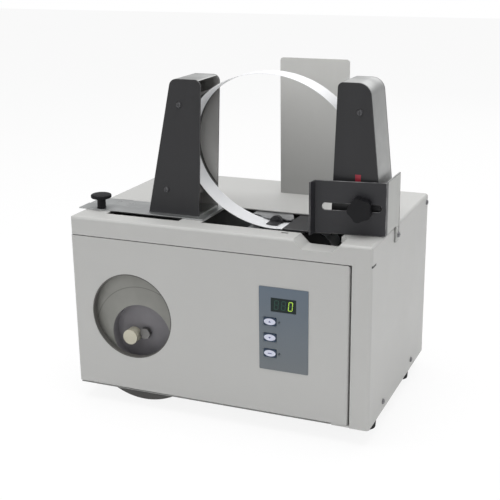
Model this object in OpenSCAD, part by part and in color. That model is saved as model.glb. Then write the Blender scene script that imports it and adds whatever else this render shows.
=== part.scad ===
// Banknote strapping machine: a sheet steel case on rubber feet, with a paper tape reel behind
// the front door, two guide towers on the top that hold the tape loop, and the feed and sealing
// mechanism below the loop.
//
// The origin is on the floor, under the middle of the machine's whole width and depth, with what
// stands out of the case. X runs to the right, Y to the back.
// Inside the modules, depth counts from the front face and height from the underside of the case.

/* [Case] */
// Width of the case
case_w = 380; // [370:1:420]
// Depth of the case
case_d = 257; // [245:1:290]
// Height of the case without its feet
case_h = 219; // [216:1:240]
// Thickness of the case's sheet steel
sheet = 1.2; // [1:0.1:1.5]
// Outer bend radius along the edges of the case
bend_r = 4; // [3:0.5:6]
// Height of the front lip above the door
lip_h = 23; // [20:1:26]
// Width of the fixed strip to the right of the door
strip_w = 23; // [20:1:28]
// Height of the rubber feet
foot_h = 20.5; // [20:0.5:30]
// Radius of the rubber feet
foot_r = 13; // [10:0.5:15]
// Distance of the feet from the sides of the case
foot_inset = 18; // [16:1:24]
// Depth of the front feet behind the front face
foot_depth = 52; // [50:1:70]

/* [Door] */
// Gap between the door's right edge and the fixed strip
door_gap = 2.4; // [2:0.1:3]
// Gap along the door's top edge
door_seam = 1; // [0.8:0.1:1.5]
// Height of the door's lower edge above the underside of the case
door_bottom = 3; // [3:0.5:6]
// Depth of the door's folded edges
door_fold = 14; // [12:1:15]
// Radius of the hinge pins
hinge_r = 2.5; // [2:0.5:3]
// Distance of the hinge axis from the door's right edge
hinge_in = 9.6; // [8:0.2:11]
// Depth of the hinge axis behind the front face
hinge_depth = 5; // [4:0.5:6]
// Radius of the round window
window_r = 54; // [48:1:58]
// Distance of the window's centre from the left side
window_x = 79; // [72:1:84]
// Height of the window's centre
window_z = 99; // [90:1:104]
// Depth of the collar inside the window
collar_depth = 7; // [5:0.5:7]

/* [Control panel] */
// Width of the control panel's face sheet
panel_w = 60; // [56:1:70]
// Height of the control panel's face sheet
panel_h = 102; // [98:1:112]
// Thickness of the control panel's face sheet
panel_t = 0.6; // [0.5:0.1:1]
// Distance of the panel's middle from the right side of the case
panel_from_right = 103; // [98:1:112]
// Height of the panel's middle
panel_z = 109; // [100:1:116]
// Width of the display window
display_w = 31; // [28:1:36]
// Height of the display window
display_h = 17; // [14:1:20]
// Height of the display's middle above the panel's middle
display_up = 30; // [28:1:32]
// Width of a button
button_w = 15.5; // [13:0.5:17]
// Height of a button
button_h = 10; // [8:0.5:11]
// Spacing of the three buttons
button_pitch = 19.5; // [18:0.5:20]
// Distance of the buttons from the panel's middle, to the left
button_left = 16.5; // [15:0.5:18]
// Height of the top button above the panel's middle
button_up = 9; // [6:0.5:10]
// Travel of a button
button_travel = 0.8; // [0.4:0.1:1]
// Clearance round a button and round the display
panel_clear = 0.3; // [0.2:0.1:0.5]

/* [Reel] */
// Radius of the reel's flanges
flange_r = 85; // [78:0.5:85.5]
// Thickness of the reel's flanges
flange_t = 1.6; // [1.2:0.2:2]
// Height of the reel's axis
reel_z = 71.5; // [70:0.5:76]
// Gap between the reel's flange and the left wall
reel_gap = 0.6; // [0.5:0.1:4]
// Depth of the front flange behind the front face
reel_depth = 9.5; // [9:0.5:12]
// Radius of the roll of paper tape
roll_r = 62; // [52:1:64]
// Radius of the open middle of the front flange
hub_r = 40; // [34:1:44]
// Depth of the recess in the reel's hub
hub_recess = 13; // [10:1:16]
// Radius of the reel's spindle
spindle_r = 6; // [5:0.5:8]
// Running clearance of shafts in their bores
running_fit = 0.05; // [0.02:0.01:0.1]
// Radius of the reel's lock knob
lock_knob_r = 9.5; // [8:0.5:11]

/* [Tape and loop] */
// Width of the paper tape
tape_w = 30; // [28:1:32]
// Thickness of the paper tape, with its coating
tape_t = 0.4; // [0.3:0.05:0.5]
// Half the width of the oval tape loop
loop_half_w = 106; // [103:0.5:108]
// Half the height of the oval tape loop
loop_half_h = 89.8; // [88:0.1:92]
// Tilt of the oval, its right end down
loop_tilt = 11; // [9:0.5:12]
// Distance of the oval's centre to the left of the loop's lowest point
loop_shift = 5; // [3:0.5:6]
// Radius of the loop's ends, inside the towers
loop_end_r = 80.5; // [78:0.5:82]
// Distance of the loop's lowest point from the right side of the case
loop_from_right = 137; // [134:1:140]
// Depth of the loop of tape behind the front face
loop_depth = 58; // [56:1:60]
// How far the loop dips below the top of the case
loop_dip = 7.3; // [7:0.1:8.5]
// Gap between the tape and the curved guides
guide_gap = 1.3; // [1:0.1:2]

/* [Towers] */
// Depth of the towers' front plates behind the front face
tower_depth = 45; // [44.5:0.5:47]
// Depth of the towers from front plate to back plate
tower_thick = 55; // [52:1:58]
// Thickness of the towers' plates
tower_plate = 2; // [1.5:0.5:3]
// Height of the left tower above the top of the case
left_tower_h = 164; // [150:1:176]
// Height of the right tower above the top of the case
right_tower_h = 169; // [150:1:176]
// Thickness of the towers' curved guides
guide_t = 1.5; // [1:0.1:2]
// Thickness of the wrapper sheet between the towers' plates
wrap_t = 1.5; // [1:0.1:2]
// Distance of the left tower's inner edge from the loop's centre
left_inner = 91; // [89:0.5:93]
// Width of the left tower at its foot
left_foot_w = 67; // [60:1:72]
// Width of the left tower at the top
left_top_w = 39; // [34:1:42]
// Width of the right tower at the top
right_top_w = 36.5; // [34:0.5:40]
// How far both towers' inner edges lean to the right over their height
tower_lean = 6.5; // [4:0.5:8]
// Distance of the right tower's inner edge from the loop's centre, at its foot
right_inner = 74; // [72:0.5:77]
// Width of the right tower at its foot
right_foot_w = 61; // [56:1:62]
// Outer corner radius at the top of the left tower
left_corner = 9; // [6:1:12]
// Outer corner radius at the top of the right tower
right_corner = 15; // [10:1:18]

/* [Guides on the top] */
// Thickness of the guides' steel
guide_steel = 2; // [1.5:0.1:2.5]
// Thickness of the two strips on the top
strip_t = 1.5; // [1.2:0.1:2]
// Width of the sliding strip under the left tower
strip_depth = 24.5; // [22:0.5:26]
// Depth of the strip's front edge behind the front face
strip_front = 34; // [32:0.5:35]
// How far the strip's tip reaches out over the left side
strip_over = 7.5; // [3:0.5:12]
// Radius of the left knob's head
left_knob_r = 13; // [11:0.5:15]
// Height of the right side guide
side_guide_h = 61; // [54:1:66]
// Length of the side guide's front plate
side_guide_w = 79.5; // [76:0.5:82]
// Depth of the side guide's right corner behind the front face of the case
side_guide_depth = 42.5; // [42:0.5:44]
// Angle by which the side guide's front plate comes forward at its left end
side_guide_yaw = 7.8; // [6:0.2:9]
// Length of the fold at the left end of the front plate
side_guide_fold = 12; // [10:1:16]
// Angle of that fold against the front plate
side_guide_bend = 74; // [60:1:80]
// Length of the side guide's leg on the case's right side
side_guide_leg = 60; // [56:1:66]
// How far the leg reaches down the case's right side
side_guide_down = 19; // [17:1:24]
// Radius of the side guide's knob
right_knob_r = 14; // [11:0.5:15]
// Width of the rear stopper
stopper_w = 91; // [84:1:100]
// Height of the rear stopper
stopper_h = 175; // [160:1:190]
// Depth of the rear stopper behind the front face
stopper_depth = 195; // [180:1:200]
// Radius of the stopper's top corners
stopper_corner = 4; // [2:0.5:8]

/* [Top opening] */
// Distance of the opening's left edge from the loop's centre
pit_left = 80.5; // [78:0.5:82]
// Distance of the opening's right edge from the loop's centre
pit_right = 93; // [90:1:95]
// Depth of the opening's front edge behind the front face
pit_front = 27; // [25:1:29]
// Depth of the opening's back edge, where the inner plate stands
pit_back = 106; // [105:1:109]
// Depth of the finger dip in the front lip
dip_depth = 11; // [8:1:12]
// Width of the finger dip's floor
dip_w = 34; // [28:1:36]
// Distance of the finger dip's middle from the loop's centre
dip_x = 73; // [70:1:75]

/* [Mechanism] */
// Thickness of the inner plate
inner_plate = 3; // [2.5:0.5:4]
// Radius of the feed wheel
feed_r = 21.4; // [20:0.2:22]
// Radius of the pinch roller
pinch_r = 9; // [8:0.5:10]
// Radius of the guide rollers
roller_r = 8; // [7:0.5:9]
// Radius of the pins that carry the rollers
pin_r = 4; // [3:0.5:5]
// Height of the cams' shaft
cam_z = 155; // [154:0.5:157]
// Radius of the cams at rest
cam_base = 10; // [9:0.5:11]
// Lift of the cams over a quarter turn
cam_lift = 3; // [2:0.25:3]
// Radius of the feed motor
motor_r = 23; // [20:0.5:25]
// Length of the feed motor
motor_len = 58; // [45:1:70]

/* [Hidden] */
$fn = 64;

// Small gaps
skin = 0.3;          // gap between pieces that move past each other
eps = 0.01;          // overlap that keeps cuts clean

// The case's own planes
left = -case_w / 2;
right = case_w / 2;
top_z = case_h;
strip_x = right - strip_w;
seam_z = top_z - lip_h;
fold_back = 14;      // depth of the return folds behind the lip and the strip

// Door
door_right = strip_x - door_gap;
door_top = seam_z - door_seam;
hinge_x = door_right - hinge_in;
hinge_lug = 22;      // length of the lug below the door
hinge_lug_t = door_bottom - 0.6;
side_wall_front = door_fold + 2;
window_cx = left + window_x;
collar_t = 1.5;      // wall of the window's collar
collar_rim = 2;      // how far the collar's rim covers the door's back

// Control panel
panel_x = right - panel_from_right;
display_z = panel_z + display_up;
button_x = panel_x - button_left;
panel_corner = 1;    // radius of the face sheet's corners
lamp_x = button_x + 11.2;
lamp_r = 1.2;
button_proud = 1.4;  // how far a button stands out of the panel
board_depth = 15;    // depth of the control board behind the front face
board_t = 1.6;

// Reel, from front to back
reel_x = left + sheet + reel_gap + flange_r;
roll_depth = reel_depth + flange_t;
rear_flange_depth = roll_depth + tape_w + 0.4;
hub_floor_t = 2.5;
core_r = hub_r + 2.5;
hub_floor = reel_depth + hub_recess;
spindle_tip = hub_floor - 4;
lock_x = reel_x - 16.5;
lock_z = reel_z - 4;
lock_front = reel_depth - 0.5;

// Tape run behind the door
loop_x = right - loop_from_right;
tape_top = reel_z + roll_r + skin;
roller_gap = 0.3;    // gap between the tape and a roller it passes
left_roller_x = reel_x + 67;
feed_x = loop_x + 51;
// The loop is an oval of four arcs: two ends inside the towers, and a flatter top and bottom
loop_z = top_z + loop_half_h - loop_dip;
loop_mid = loop_x - loop_shift;
loop_low = loop_z - loop_half_h;
end_off = loop_half_w - loop_end_r;
loop_flat_r = (pow(end_off, 2) + pow(loop_half_h, 2) - pow(loop_end_r, 2)) / (2 * (loop_half_h - loop_end_r));
flat_off = loop_flat_r - loop_half_h;
join_a = atan2(flat_off, end_off);
loop_ends = [for (s = [1, -1])
    [loop_mid + s * end_off * cos(loop_tilt), loop_z - s * end_off * sin(loop_tilt)]];
loop_flats = [for (s = [1, -1])
    [loop_mid - s * flat_off * sin(loop_tilt), loop_z - s * flat_off * cos(loop_tilt)]];
loop_start = -35;    // angle of the tape's free end in the right tower
entry_run = 15.5;    // distance from the loop's lowest point to the table
tape_entry_x = loop_x + entry_run;
entry_a = asin((tape_entry_x - loop_flats[1][0]) / loop_flat_r);
tape_entry_z = loop_flats[1][1] - loop_flat_r * cos(entry_a);
feed_z = tape_entry_z - tape_t / 2 - roller_gap - feed_r;
rise_x = feed_x + feed_r + roller_gap + tape_t / 2;
right_roller_x = rise_x - tape_t / 2 - roller_gap - roller_r;
right_roller_z = tape_top + tape_t + roller_gap + roller_r;
pinch_x = rise_x + tape_t / 2 + roller_gap + pinch_r;
wheel_front = loop_depth - 2;
wheel_len = tape_w + 4;
feed_shaft_r = 5;
pin_front = 6;       // how far a roller pin stands out in front of its roller

// Towers
tower_back = tower_depth + tower_thick;
tower_foot = top_z + strip_t;
left_inner_x = loop_x - left_inner;
right_inner_x = loop_x + right_inner;
arc_r = loop_end_r + tape_t / 2 + guide_gap;

// Guides on the top
strip_end_x = loop_x - pit_left - 0.5;
strip_tip_x = left - strip_over;
strip_back = strip_front + strip_depth;
strip_slot_w = 7;
strip_stroke_out = 10;
strip_stroke_in = 12;
left_knob_x = left + 20.4;
left_knob_depth = strip_front + 8;
fixed_front = strip_back + 0.4;
fixed_back = fixed_front + 28;
fixed_wide_x = left + 84;
stud_r = 3;
side_guide_right = right + guide_steel;
side_guide_z = top_z + 0.6;
side_slot_z = side_guide_z + side_guide_h / 2 + 1;
side_slot_h = 8;
side_slot_s0 = 5;    // ends of the slot and place of the knob, along the plate from the corner
side_slot_s1 = 72;
side_knob_s = 28;
slider_half = 10;    // half the width of the slider behind the plate
slider_half_h = 14;
stopper_x = loop_x + 1.5;
stopper_foot = 40;
stopper_out = 12;    // how far the stopper can be set to the front
stopper_in = 12;     // how far the stopper can be set to the back
stopper_screw_d = stopper_depth + stopper_foot / 2 + 1;

// Mechanism
pit_x0 = loop_x - pit_left;
pit_x1 = loop_x + pit_right;
plate_top = top_z - 8;
plate_side = 10;     // gap between the inner plate's ends and the case's sides
head_x0 = loop_x - 45;
head_x1 = loop_x + 22;
cheek_t = 4;
block_top = loop_low - tape_t / 2 - cam_lift - 1.2;
block_foot = cam_z + cam_base + 0.4;
block_d0 = loop_depth;
guide_block_z = 182;
guide_block_h = 16;
cam_shaft_r = 4;
cam_w = 8;
cam_depth = loop_depth + tape_w / 2;
table_t = 2;
table_z = top_z - 2 - table_t;
table_x0 = tape_entry_x + 0.5;
table_x1 = feed_x + 24;
table_depth = 43;
screw_head_r = 3.6;
screw_head_h = 2;
screw_r = 2;

// Middle and width of each ram above the cams
block_x = [loop_x - 30, loop_x - 9, loop_x + 9];
block_w = [14, 16, 12];

// Places of the case's screws on each side, and of the side guide's screw: depth and height
side_screws = [[case_d - 8.5, top_z - 10], [58.5, 12], [192, 12]];
guide_screw = [side_guide_depth + side_guide_leg - 4, top_z - 12];
rear_screws = [[-0.42, 0.94], [0, 0.94], [0.42, 0.94], [-0.42, 0.06], [0, 0.06], [0.42, 0.06]];

// Power inlet and switch in the rear panel
inlet_x = left + 80;
inlet_z = 45;
inlet_w = 27;
inlet_h = 20;
switch_x = inlet_x + 34;
switch_w = 15;
switch_h = 21;
rocker_r = 8.2;      // radius of the rocker's ends about its pivot
rocker_tilt = 8;     // tilt of the rocker to either side
rocker_out = 5.1;    // how far the rocker's lower end stands out behind the case

// Place of the case's middle: the machine's outermost pieces lie evenly about the origin
case_mid_x = (strip_over - guide_steel - screw_head_h) / 2;
case_mid_y = (button_proud - rocker_out) / 2;

// Moves what is drawn from the case's front lower edge into the part's own frame
module in_case() translate([case_mid_x, case_mid_y - case_d / 2, foot_h]) children();

// Points of a corner of radius c[2] at c, between its neighbours a and b
function unit2(v) = v / norm(v);
function corner(a, c, b, n) =
    c[2] <= 0 ? [[c[0], c[1]]] :
    let (p = [c[0], c[1]],
         u = unit2([a[0], a[1]] - p),
         w = unit2([b[0], b[1]] - p),
         half = acos(u * w) / 2,
         run = c[2] / tan(half),
         mid = p + unit2(u + w) * c[2] / sin(half),
         start = p + u * run - mid,
         turn = (start[0] * (p + w * run - mid)[1] - start[1] * (p + w * run - mid)[0]) > 0 ? 1 : -1,
         sweep = turn * (180 - 2 * half))
    [for (i = [0:n]) mid + [start[0] * cos(sweep * i / n) - start[1] * sin(sweep * i / n),
                            start[0] * sin(sweep * i / n) + start[1] * cos(sweep * i / n)]];

// Outline with rounded corners, each point given as [x, y, radius]
function rounded(pts, n = 6) =
    [for (i = [0:len(pts) - 1])
        each corner(pts[(i + len(pts) - 1) % len(pts)], pts[i], pts[(i + 1) % len(pts)], n)];

// A plate that stands in the XZ plane, from depth d0 with thickness t towards the back
module upright(d0, t) translate([0, d0 + t, 0]) rotate([90, 0, 0]) linear_extrude(t) children();

// A box between two corners
module block(a, b) translate(a) cube(b - a);

// A round bar along Y
module bar_y(x, d0, z, r, len) translate([x, d0, z]) rotate([-90, 0, 0]) cylinder(r = r, h = len);

// A tube along Y
module tube_y(x, d0, z, r, bore, len) difference() {
    bar_y(x, d0, z, r, len);
    bar_y(x, d0 - 1, z, bore, len + 2);
}

// A slot with round ends, cut through a flat sheet in the XY plane
module slot_xy(x0, x1, y, w, z, h) {
    block([x0 + w / 2, y - w / 2, z], [x1 - w / 2, y + w / 2, z + h]);
    for (x = [x0 + w / 2, x1 - w / 2]) translate([x, y, z]) cylinder(r = w / 2, h = h);
}

// ---------------------------------------------------------------- case

// The closed shape of the case, made smaller by inset on every face but the lower and rear ones
module case_solid(inset, extra) {
    r = bend_r - inset;
    x0 = left + inset;
    x1 = right - inset;
    z1 = top_z - inset;
    intersection() {
        upright(inset, case_d - sheet - inset + extra)
            polygon(rounded([[x0, -extra, 0], [x1, -extra, 0], [x1, z1, r], [x0, z1, r]]));
        translate([x0, 0, 0]) rotate([90, 0, 90]) linear_extrude(x1 - x0)
            polygon(rounded([[inset, -extra, 0], [case_d + extra, -extra, 0],
                             [case_d + extra, z1, 0], [inset, z1, r]]));
        translate([0, 0, -extra]) linear_extrude(z1 + extra)
            polygon(rounded([[x0, inset, r], [x1, inset, r],
                             [x1, case_d + extra, 0], [x0, case_d + extra, 0]]));
    }
}

// The finger dip in the front lip, made larger by grow for the cavity below it
module finger_dip(grow) {
    middle = loop_x + dip_x;
    low = top_z - dip_depth - grow;
    half = dip_w / 2 + grow;
    slope = 11;
    upright(-1, pit_front + 1 + grow)
        polygon(rounded([[middle - half - slope, top_z + 5, 0], [middle - half - slope, top_z - grow, 4],
                         [middle - half, low, 6], [middle + half, low, 3],
                         [middle + half + slope, top_z - grow, 4], [middle + half + slope, top_z + 5, 0]]));
}

module cover_openings() {
    door_cut = side_wall_front;
    block([left - 1, -1, -1], [strip_x, door_cut, seam_z]);
    // opening over the table, which cuts through the end of the finger dip
    block([pit_x0, pit_front, top_z - dip_depth - 4], [pit_x1, pit_back, top_z + 6]);
    // slot in front of the sliding strip, and the short one behind the fixed strip
    block([left + 37, strip_front - 10, top_z - 6], [left_inner_x - 17, strip_front + 4, top_z + 6]);
    slot_xy(left + 18, left + 38, fixed_back + 4, 3.5, top_z - 6, 12);
    // small slot beside the finger dip
    slot_xy(loop_x + 23, loop_x + 32.5, pit_front - 6, 4, top_z - 6, 12);
    // slot for the clamp stud under the sliding strip, holes for the stopper's and the side screws
    slot_xy(left_knob_x - strip_stroke_out - strip_slot_w / 2, left_knob_x + strip_stroke_in + strip_slot_w / 2,
            left_knob_depth, strip_slot_w, top_z - 6, 12);
    for (s = [-1, 1])
        translate([stopper_x + s * stopper_w / 4, stopper_screw_d, top_z - 6])
            cylinder(r = screw_r, h = 12);
    for (p = side_screws)
        translate([left - 1, p[0], p[1]]) rotate([0, 90, 0]) cylinder(r = screw_r, h = case_w + 2);
    translate([0, guide_screw[0], guide_screw[1]]) rotate([0, 90, 0]) cylinder(r = screw_r, h = case_w);
}

// Folds behind the lip and the strip, and the lug that carries the lower hinge pin
module cover_folds() {
    difference() {
        union() {
            block([left + 1, sheet, seam_z], [strip_x + sheet, fold_back, seam_z + sheet]);
            block([strip_x, sheet / 2, 0], [strip_x + sheet, fold_back, seam_z + sheet]);
            block([strip_x - hinge_lug, 1, 0], [strip_x + sheet, fold_back, hinge_lug_t]);
        }
        translate([hinge_x, hinge_depth, -1]) cylinder(r = hinge_r, h = top_z);
    }
}

module outer_cover() {
    color([0.68, 0.685, 0.675]) in_case() {
        difference() {
            case_solid(0, 0);
            difference() {
                case_solid(sheet, 2);
                finger_dip(sheet);
            }
            finger_dip(0);
            cover_openings();
        }
        cover_folds();
    }
}

module rear_panel() {
    y0 = case_d - sheet;
    color([0.66, 0.665, 0.655]) in_case() difference() {
        union() {
            block([left + bend_r, y0, 2], [right - bend_r, case_d, top_z - bend_r]);
            // inward folds that meet the inside of the cover
            block([left + sheet, y0 - 10, 2], [left + 2 * sheet, y0 + sheet / 2, top_z - bend_r]);
            block([right - 2 * sheet, y0 - 10, 2], [right - sheet, y0 + sheet / 2, top_z - bend_r]);
            block([left + sheet, y0 - sheet, 2], [right - sheet, y0, top_z - bend_r]);
        }
        // vent slots
        for (i = [0:9])
            translate([40 + i * 11, y0 - 2, 60]) rotate([-90, 0, 0]) translate([0, -70, 0])
                linear_extrude(2 * sheet + 4) {
                    translate([-2, 0]) square([4, 70]);
                    circle(r = 2);
                    translate([0, 70]) circle(r = 2);
                }
        inlet_cutouts();
        for (p = rear_screws)
            bar_y(p[0] * case_w, y0 - 4, p[1] * case_h, screw_r, 8);
        for (s = [-1, 1])
            translate([s * right - 3, side_screws[0][0], side_screws[0][1]]) rotate([0, 90, 0])
                cylinder(r = screw_r, h = 6);
    }
}

module inlet_cutouts() {
    block([inlet_x - inlet_w / 2, case_d - 12, inlet_z - inlet_h / 2],
          [inlet_x + inlet_w / 2, case_d + 2, inlet_z + inlet_h / 2]);
    block([switch_x - switch_w / 2, case_d - 12, inlet_z - switch_h / 2],
          [switch_x + switch_w / 2, case_d + 2, inlet_z + switch_h / 2]);
}

// The floor, with a slot for the lower edge of the reel
base_rim = 18;
module base_plate() {
    half = sqrt(pow(flange_r, 2) - pow(reel_z, 2)) + 4;
    color([0.55, 0.56, 0.56]) in_case() difference() {
        union() {
            block([left + sheet, 2, 0], [right - sheet, case_d - 2 * sheet, sheet]);
            for (s = [-1, 1]) {
                x = s > 0 ? right - 2 * sheet : left + sheet;
                block([x, side_wall_front + 1, 0], [x + sheet, case_d - 12, base_rim]);
            }
        }
        block([reel_x - half, 6, -1], [reel_x + half, rear_flange_depth + flange_t + 3, sheet + 1]);
        block([strip_x - hinge_lug - 1, 0, -1], [right, fold_back + 1, sheet + 1]);
        for (x = [left + foot_inset, right - foot_inset], y = [foot_depth, case_d - foot_depth])
            translate([x, y, -1]) cylinder(r = screw_r, h = 4);
        for (s = [-1, 1], i = [1, 2])
            translate([s * right - 4, side_screws[i][0], side_screws[i][1]]) rotate([0, 90, 0])
                cylinder(r = screw_r, h = 8);
    }
}

foot_recess_r = 6;
foot_recess = 9;
module rubber_feet() {
    color([0.06, 0.06, 0.06]) in_case()
        for (x = [left + foot_inset, right - foot_inset], y = [foot_depth, case_d - foot_depth])
            translate([x, y, -foot_h]) difference() {
                cylinder(r1 = foot_r - 1.5, r2 = foot_r, h = foot_h);
                translate([0, 0, -1]) cylinder(r = foot_recess_r, h = foot_recess + 1);
                cylinder(r = screw_r, h = foot_h + 1);
            }
}

// A pan-head screw along +Z, its head's underside at z = 0
module screw(len) {
    translate([0, 0, -len]) cylinder(r = screw_r, h = len);
    difference() {
        cylinder(r1 = screw_head_r, r2 = screw_head_r - 0.9, h = screw_head_h);
        for (a = [0, 90]) rotate([0, 0, a])
            translate([-2.2, -0.4, screw_head_h - 1]) cube([4.4, 0.8, 2]);
    }
}

module case_screws() {
    color([0.72, 0.73, 0.74]) in_case() {
        for (s = [-1, 1], p = side_screws)
            translate([s * right, p[0], p[1]]) rotate([0, s * 90, 0]) screw(2 * sheet + 2);
        translate([side_guide_right, guide_screw[0], guide_screw[1]]) rotate([0, 90, 0])
            screw(guide_steel + sheet + 3);
        for (p = rear_screws)
            translate([p[0] * case_w, case_d, p[1] * case_h]) rotate([-90, 0, 0])
                screw(2 * sheet + 2);
        for (x = [left + foot_inset, right - foot_inset], y = [foot_depth, case_d - foot_depth])
            translate([x, y, foot_recess - foot_h]) rotate([180, 0, 0])
                screw(foot_h - foot_recess + sheet + 2);
    }
}

// The upright plate that carries the reel, the rollers and the sealing head
module inner_mount_plate() {
    x0 = left + plate_side;
    x1 = right - plate_side;
    color([0.62, 0.63, 0.64]) in_case() difference() {
        union() {
            upright(pit_back, inner_plate)
                polygon(rounded([[x0, sheet, 0], [x1, sheet, 0], [x1, plate_top, 6], [x0, plate_top, 6]]));
            // fold that is screwed to the floor
            block([x0, pit_back, sheet], [x1, pit_back + 22, sheet + inner_plate]);
        }
        bar_y(reel_x, pit_back - 1, reel_z, spindle_r, inner_plate + 2);
        bar_y(feed_x, pit_back - 1, feed_z, feed_shaft_r + running_fit, inner_plate + 2);
        for (p = pin_places()) bar_y(p[0], pit_back - 1, p[1], pin_r, inner_plate + 2);
    }
}

// ---------------------------------------------------------------- door

notch_half = sqrt(pow(flange_r, 2) - pow(reel_z - door_bottom - sheet - 1, 2)) + 3;
module door() {
    color([0.675, 0.685, 0.675]) in_case() difference() {
        door_solid(0);
        door_solid(sheet);
        bar_y(window_cx, -1, window_z, window_r, sheet + 3);
        // notch in the lower fold, round the front flange of the reel
        block([reel_x - notch_half, reel_depth - 2.5, door_bottom - 1],
              [reel_x + notch_half, door_fold + 1, door_bottom + sheet + 1]);
        block([panel_x - display_w / 2 - panel_clear, -1, display_z - display_h / 2 - panel_clear],
              [panel_x + display_w / 2 + panel_clear, sheet + 1, display_z + display_h / 2 + panel_clear]);
        for (i = [0:2]) button_cut(i, sheet + 1);
        for (i = [0, 2]) bar_y(lamp_x, -1, button_z(i), lamp_r + panel_clear, sheet + 3);
        for (z = [door_bottom, door_top - sheet])
            translate([hinge_x, hinge_depth, z - 1]) cylinder(r = hinge_r + running_fit, h = sheet + 2);
    }
}

// The door's outer shape: its top right corner is rounded, and so are its front edges
module door_solid(inset) {
    r = inset > 0 ? 1.6 : 2.8;
    back = inset > 0 ? door_fold + 1 : door_fold;
    intersection() {
        upright(inset, back - inset)
            polygon(rounded([
                [left + inset, door_bottom + inset, 1], [door_right - inset, door_bottom + inset, 1],
                [door_right - inset, door_top - inset, 3], [left + inset, door_top - inset, 1]]));
        translate([0, 0, door_bottom]) linear_extrude(door_top - door_bottom)
            polygon(rounded([[left + inset, inset, r], [door_right - inset, inset, r],
                             [door_right - inset, back, 0], [left + inset, back, 0]]));
    }
}

function button_z(i) = panel_z + button_up - i * button_pitch;

module button_cut(i, depth) {
    c = panel_clear;
    z = button_z(i);
    block([button_x - button_w / 2 - c, -2, z - button_h / 2 - c],
          [button_x + button_w / 2 + c, depth, z + button_h / 2 + c]);
}

// Collar behind the window's edge, with a rim against the door's back
module window_collar() {
    color([0.25, 0.25, 0.25]) in_case() {
        tube_y(window_cx, 0.2, window_z, window_r - skin / 3, window_r - collar_t, collar_depth - 0.2);
        tube_y(window_cx, sheet, window_z, window_r + collar_rim, window_r - collar_t, 1.4);
    }
}

module panel_sheet() {
    color([0.40, 0.45, 0.49]) in_case() difference() {
        upright(-panel_t, panel_t)
            polygon(rounded([[panel_x - panel_w / 2, panel_z - panel_h / 2, panel_corner],
                             [panel_x + panel_w / 2, panel_z - panel_h / 2, panel_corner],
                             [panel_x + panel_w / 2, panel_z + panel_h / 2, panel_corner],
                             [panel_x - panel_w / 2, panel_z + panel_h / 2, panel_corner]]));
        for (i = [0:2]) button_cut(i, 1);
        for (i = [0, 2]) bar_y(lamp_x, -2, button_z(i), lamp_r + panel_clear, 4);
        block([panel_x - display_w / 2, -2, display_z - display_h / 2],
              [panel_x + display_w / 2, 1, display_z + display_h / 2]);
    }
}

module display_module() {
    lens = 0.2;
    color([0.04, 0.07, 0.05]) in_case() {
        block([panel_x - display_w / 2, -panel_t + lens, display_z - display_h / 2],
              [panel_x + display_w / 2, sheet + 3, display_z + display_h / 2]);
        block([panel_x - display_w / 2 - 2, sheet, display_z - display_h / 2 - 2],
              [panel_x + display_w / 2 + 2, board_depth, display_z + display_h / 2 + 2]);
    }
}

// A button: its cap, and the plunger that reaches towards the board
module button(i) {
    z = button_z(i);
    plunger = 2.5;
    cap_back = sheet + 0.4;
    upright(-button_proud, button_proud + cap_back)
        polygon(rounded([for (c = [[-1, -1], [1, -1], [1, 1], [-1, 1]])
            [button_x + c[0] * button_w / 2, z + c[1] * button_h / 2, 2]]));
    // shoulder that keeps the cap behind the panel
    block([button_x - button_w / 2 - 1, cap_back, z - button_h / 2 - 1],
          [button_x + button_w / 2 + 1, cap_back + 1, z + button_h / 2 + 1]);
    bar_y(button_x, cap_back + 1, z, plunger, board_depth - 3 - cap_back - 1 - button_travel - skin);
}

module up_button() color([0.13, 0.16, 0.30]) in_case() button(0);
module down_button() color([0.13, 0.16, 0.30]) in_case() button(1);
module feed_button() color([0.13, 0.16, 0.30]) in_case() button(2);

module indicator_lamps() {
    color([0.75, 0.2, 0.15]) in_case()
        for (i = [0, 2]) bar_y(lamp_x, -panel_t - 0.3, button_z(i), lamp_r, board_depth + panel_t + 0.3);
}

// The board behind the panel, its key switches and the posts that hold it to the door
module control_board() {
    x0 = panel_x - panel_w / 2;
    x1 = panel_x + panel_w / 2;
    z0 = panel_z - panel_h / 2;
    z1 = panel_z + panel_h / 2;
    color([0.07, 0.30, 0.15]) in_case() {
        block([x0, board_depth, z0], [x1, board_depth + board_t, z1]);
        for (x = [x0 + 3, x1 - 3], z = [z0 + 3, z1 - 3]) bar_y(x, sheet, z, 2, board_depth - sheet);
        for (i = [0:2])
            block([button_x - 3, board_depth - 3, button_z(i) - 3],
                  [button_x + 3, board_depth, button_z(i) + 3]);
        block([x0 + 26, board_depth + board_t, z0 + 10], [x1 - 8, board_depth + board_t + 6, z0 + 30]);
    }
}

module hinge_pins() {
    color([0.7, 0.7, 0.72]) in_case() {
        translate([hinge_x, hinge_depth, 0]) cylinder(r = hinge_r, h = door_bottom + sheet + 2);
        translate([hinge_x, hinge_depth, door_top - sheet - 2])
            cylinder(r = hinge_r, h = seam_z + sheet - door_top + sheet + 2);
    }
}

// Magnet that holds the door shut, hung under the lip's fold
magnet_w = 30;
module door_magnet() {
    color([0.1, 0.1, 0.1]) in_case()
        block([left + 20, sheet + skin, door_top - sheet - 9],
              [left + 20 + magnet_w, fold_back - 1.5, door_top - sheet]);
}

// ---------------------------------------------------------------- reel

module reel_spindle() {
    color([0.7, 0.71, 0.73]) in_case() {
        bar_y(reel_x, spindle_tip, reel_z, spindle_r, pit_back + inner_plate - spindle_tip);
        bar_y(reel_x, pit_back - 5, reel_z, spindle_r + 6, 5);
        bar_y(reel_x, pit_back + inner_plate, reel_z, spindle_r + 4, 6);
    }
}

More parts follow.
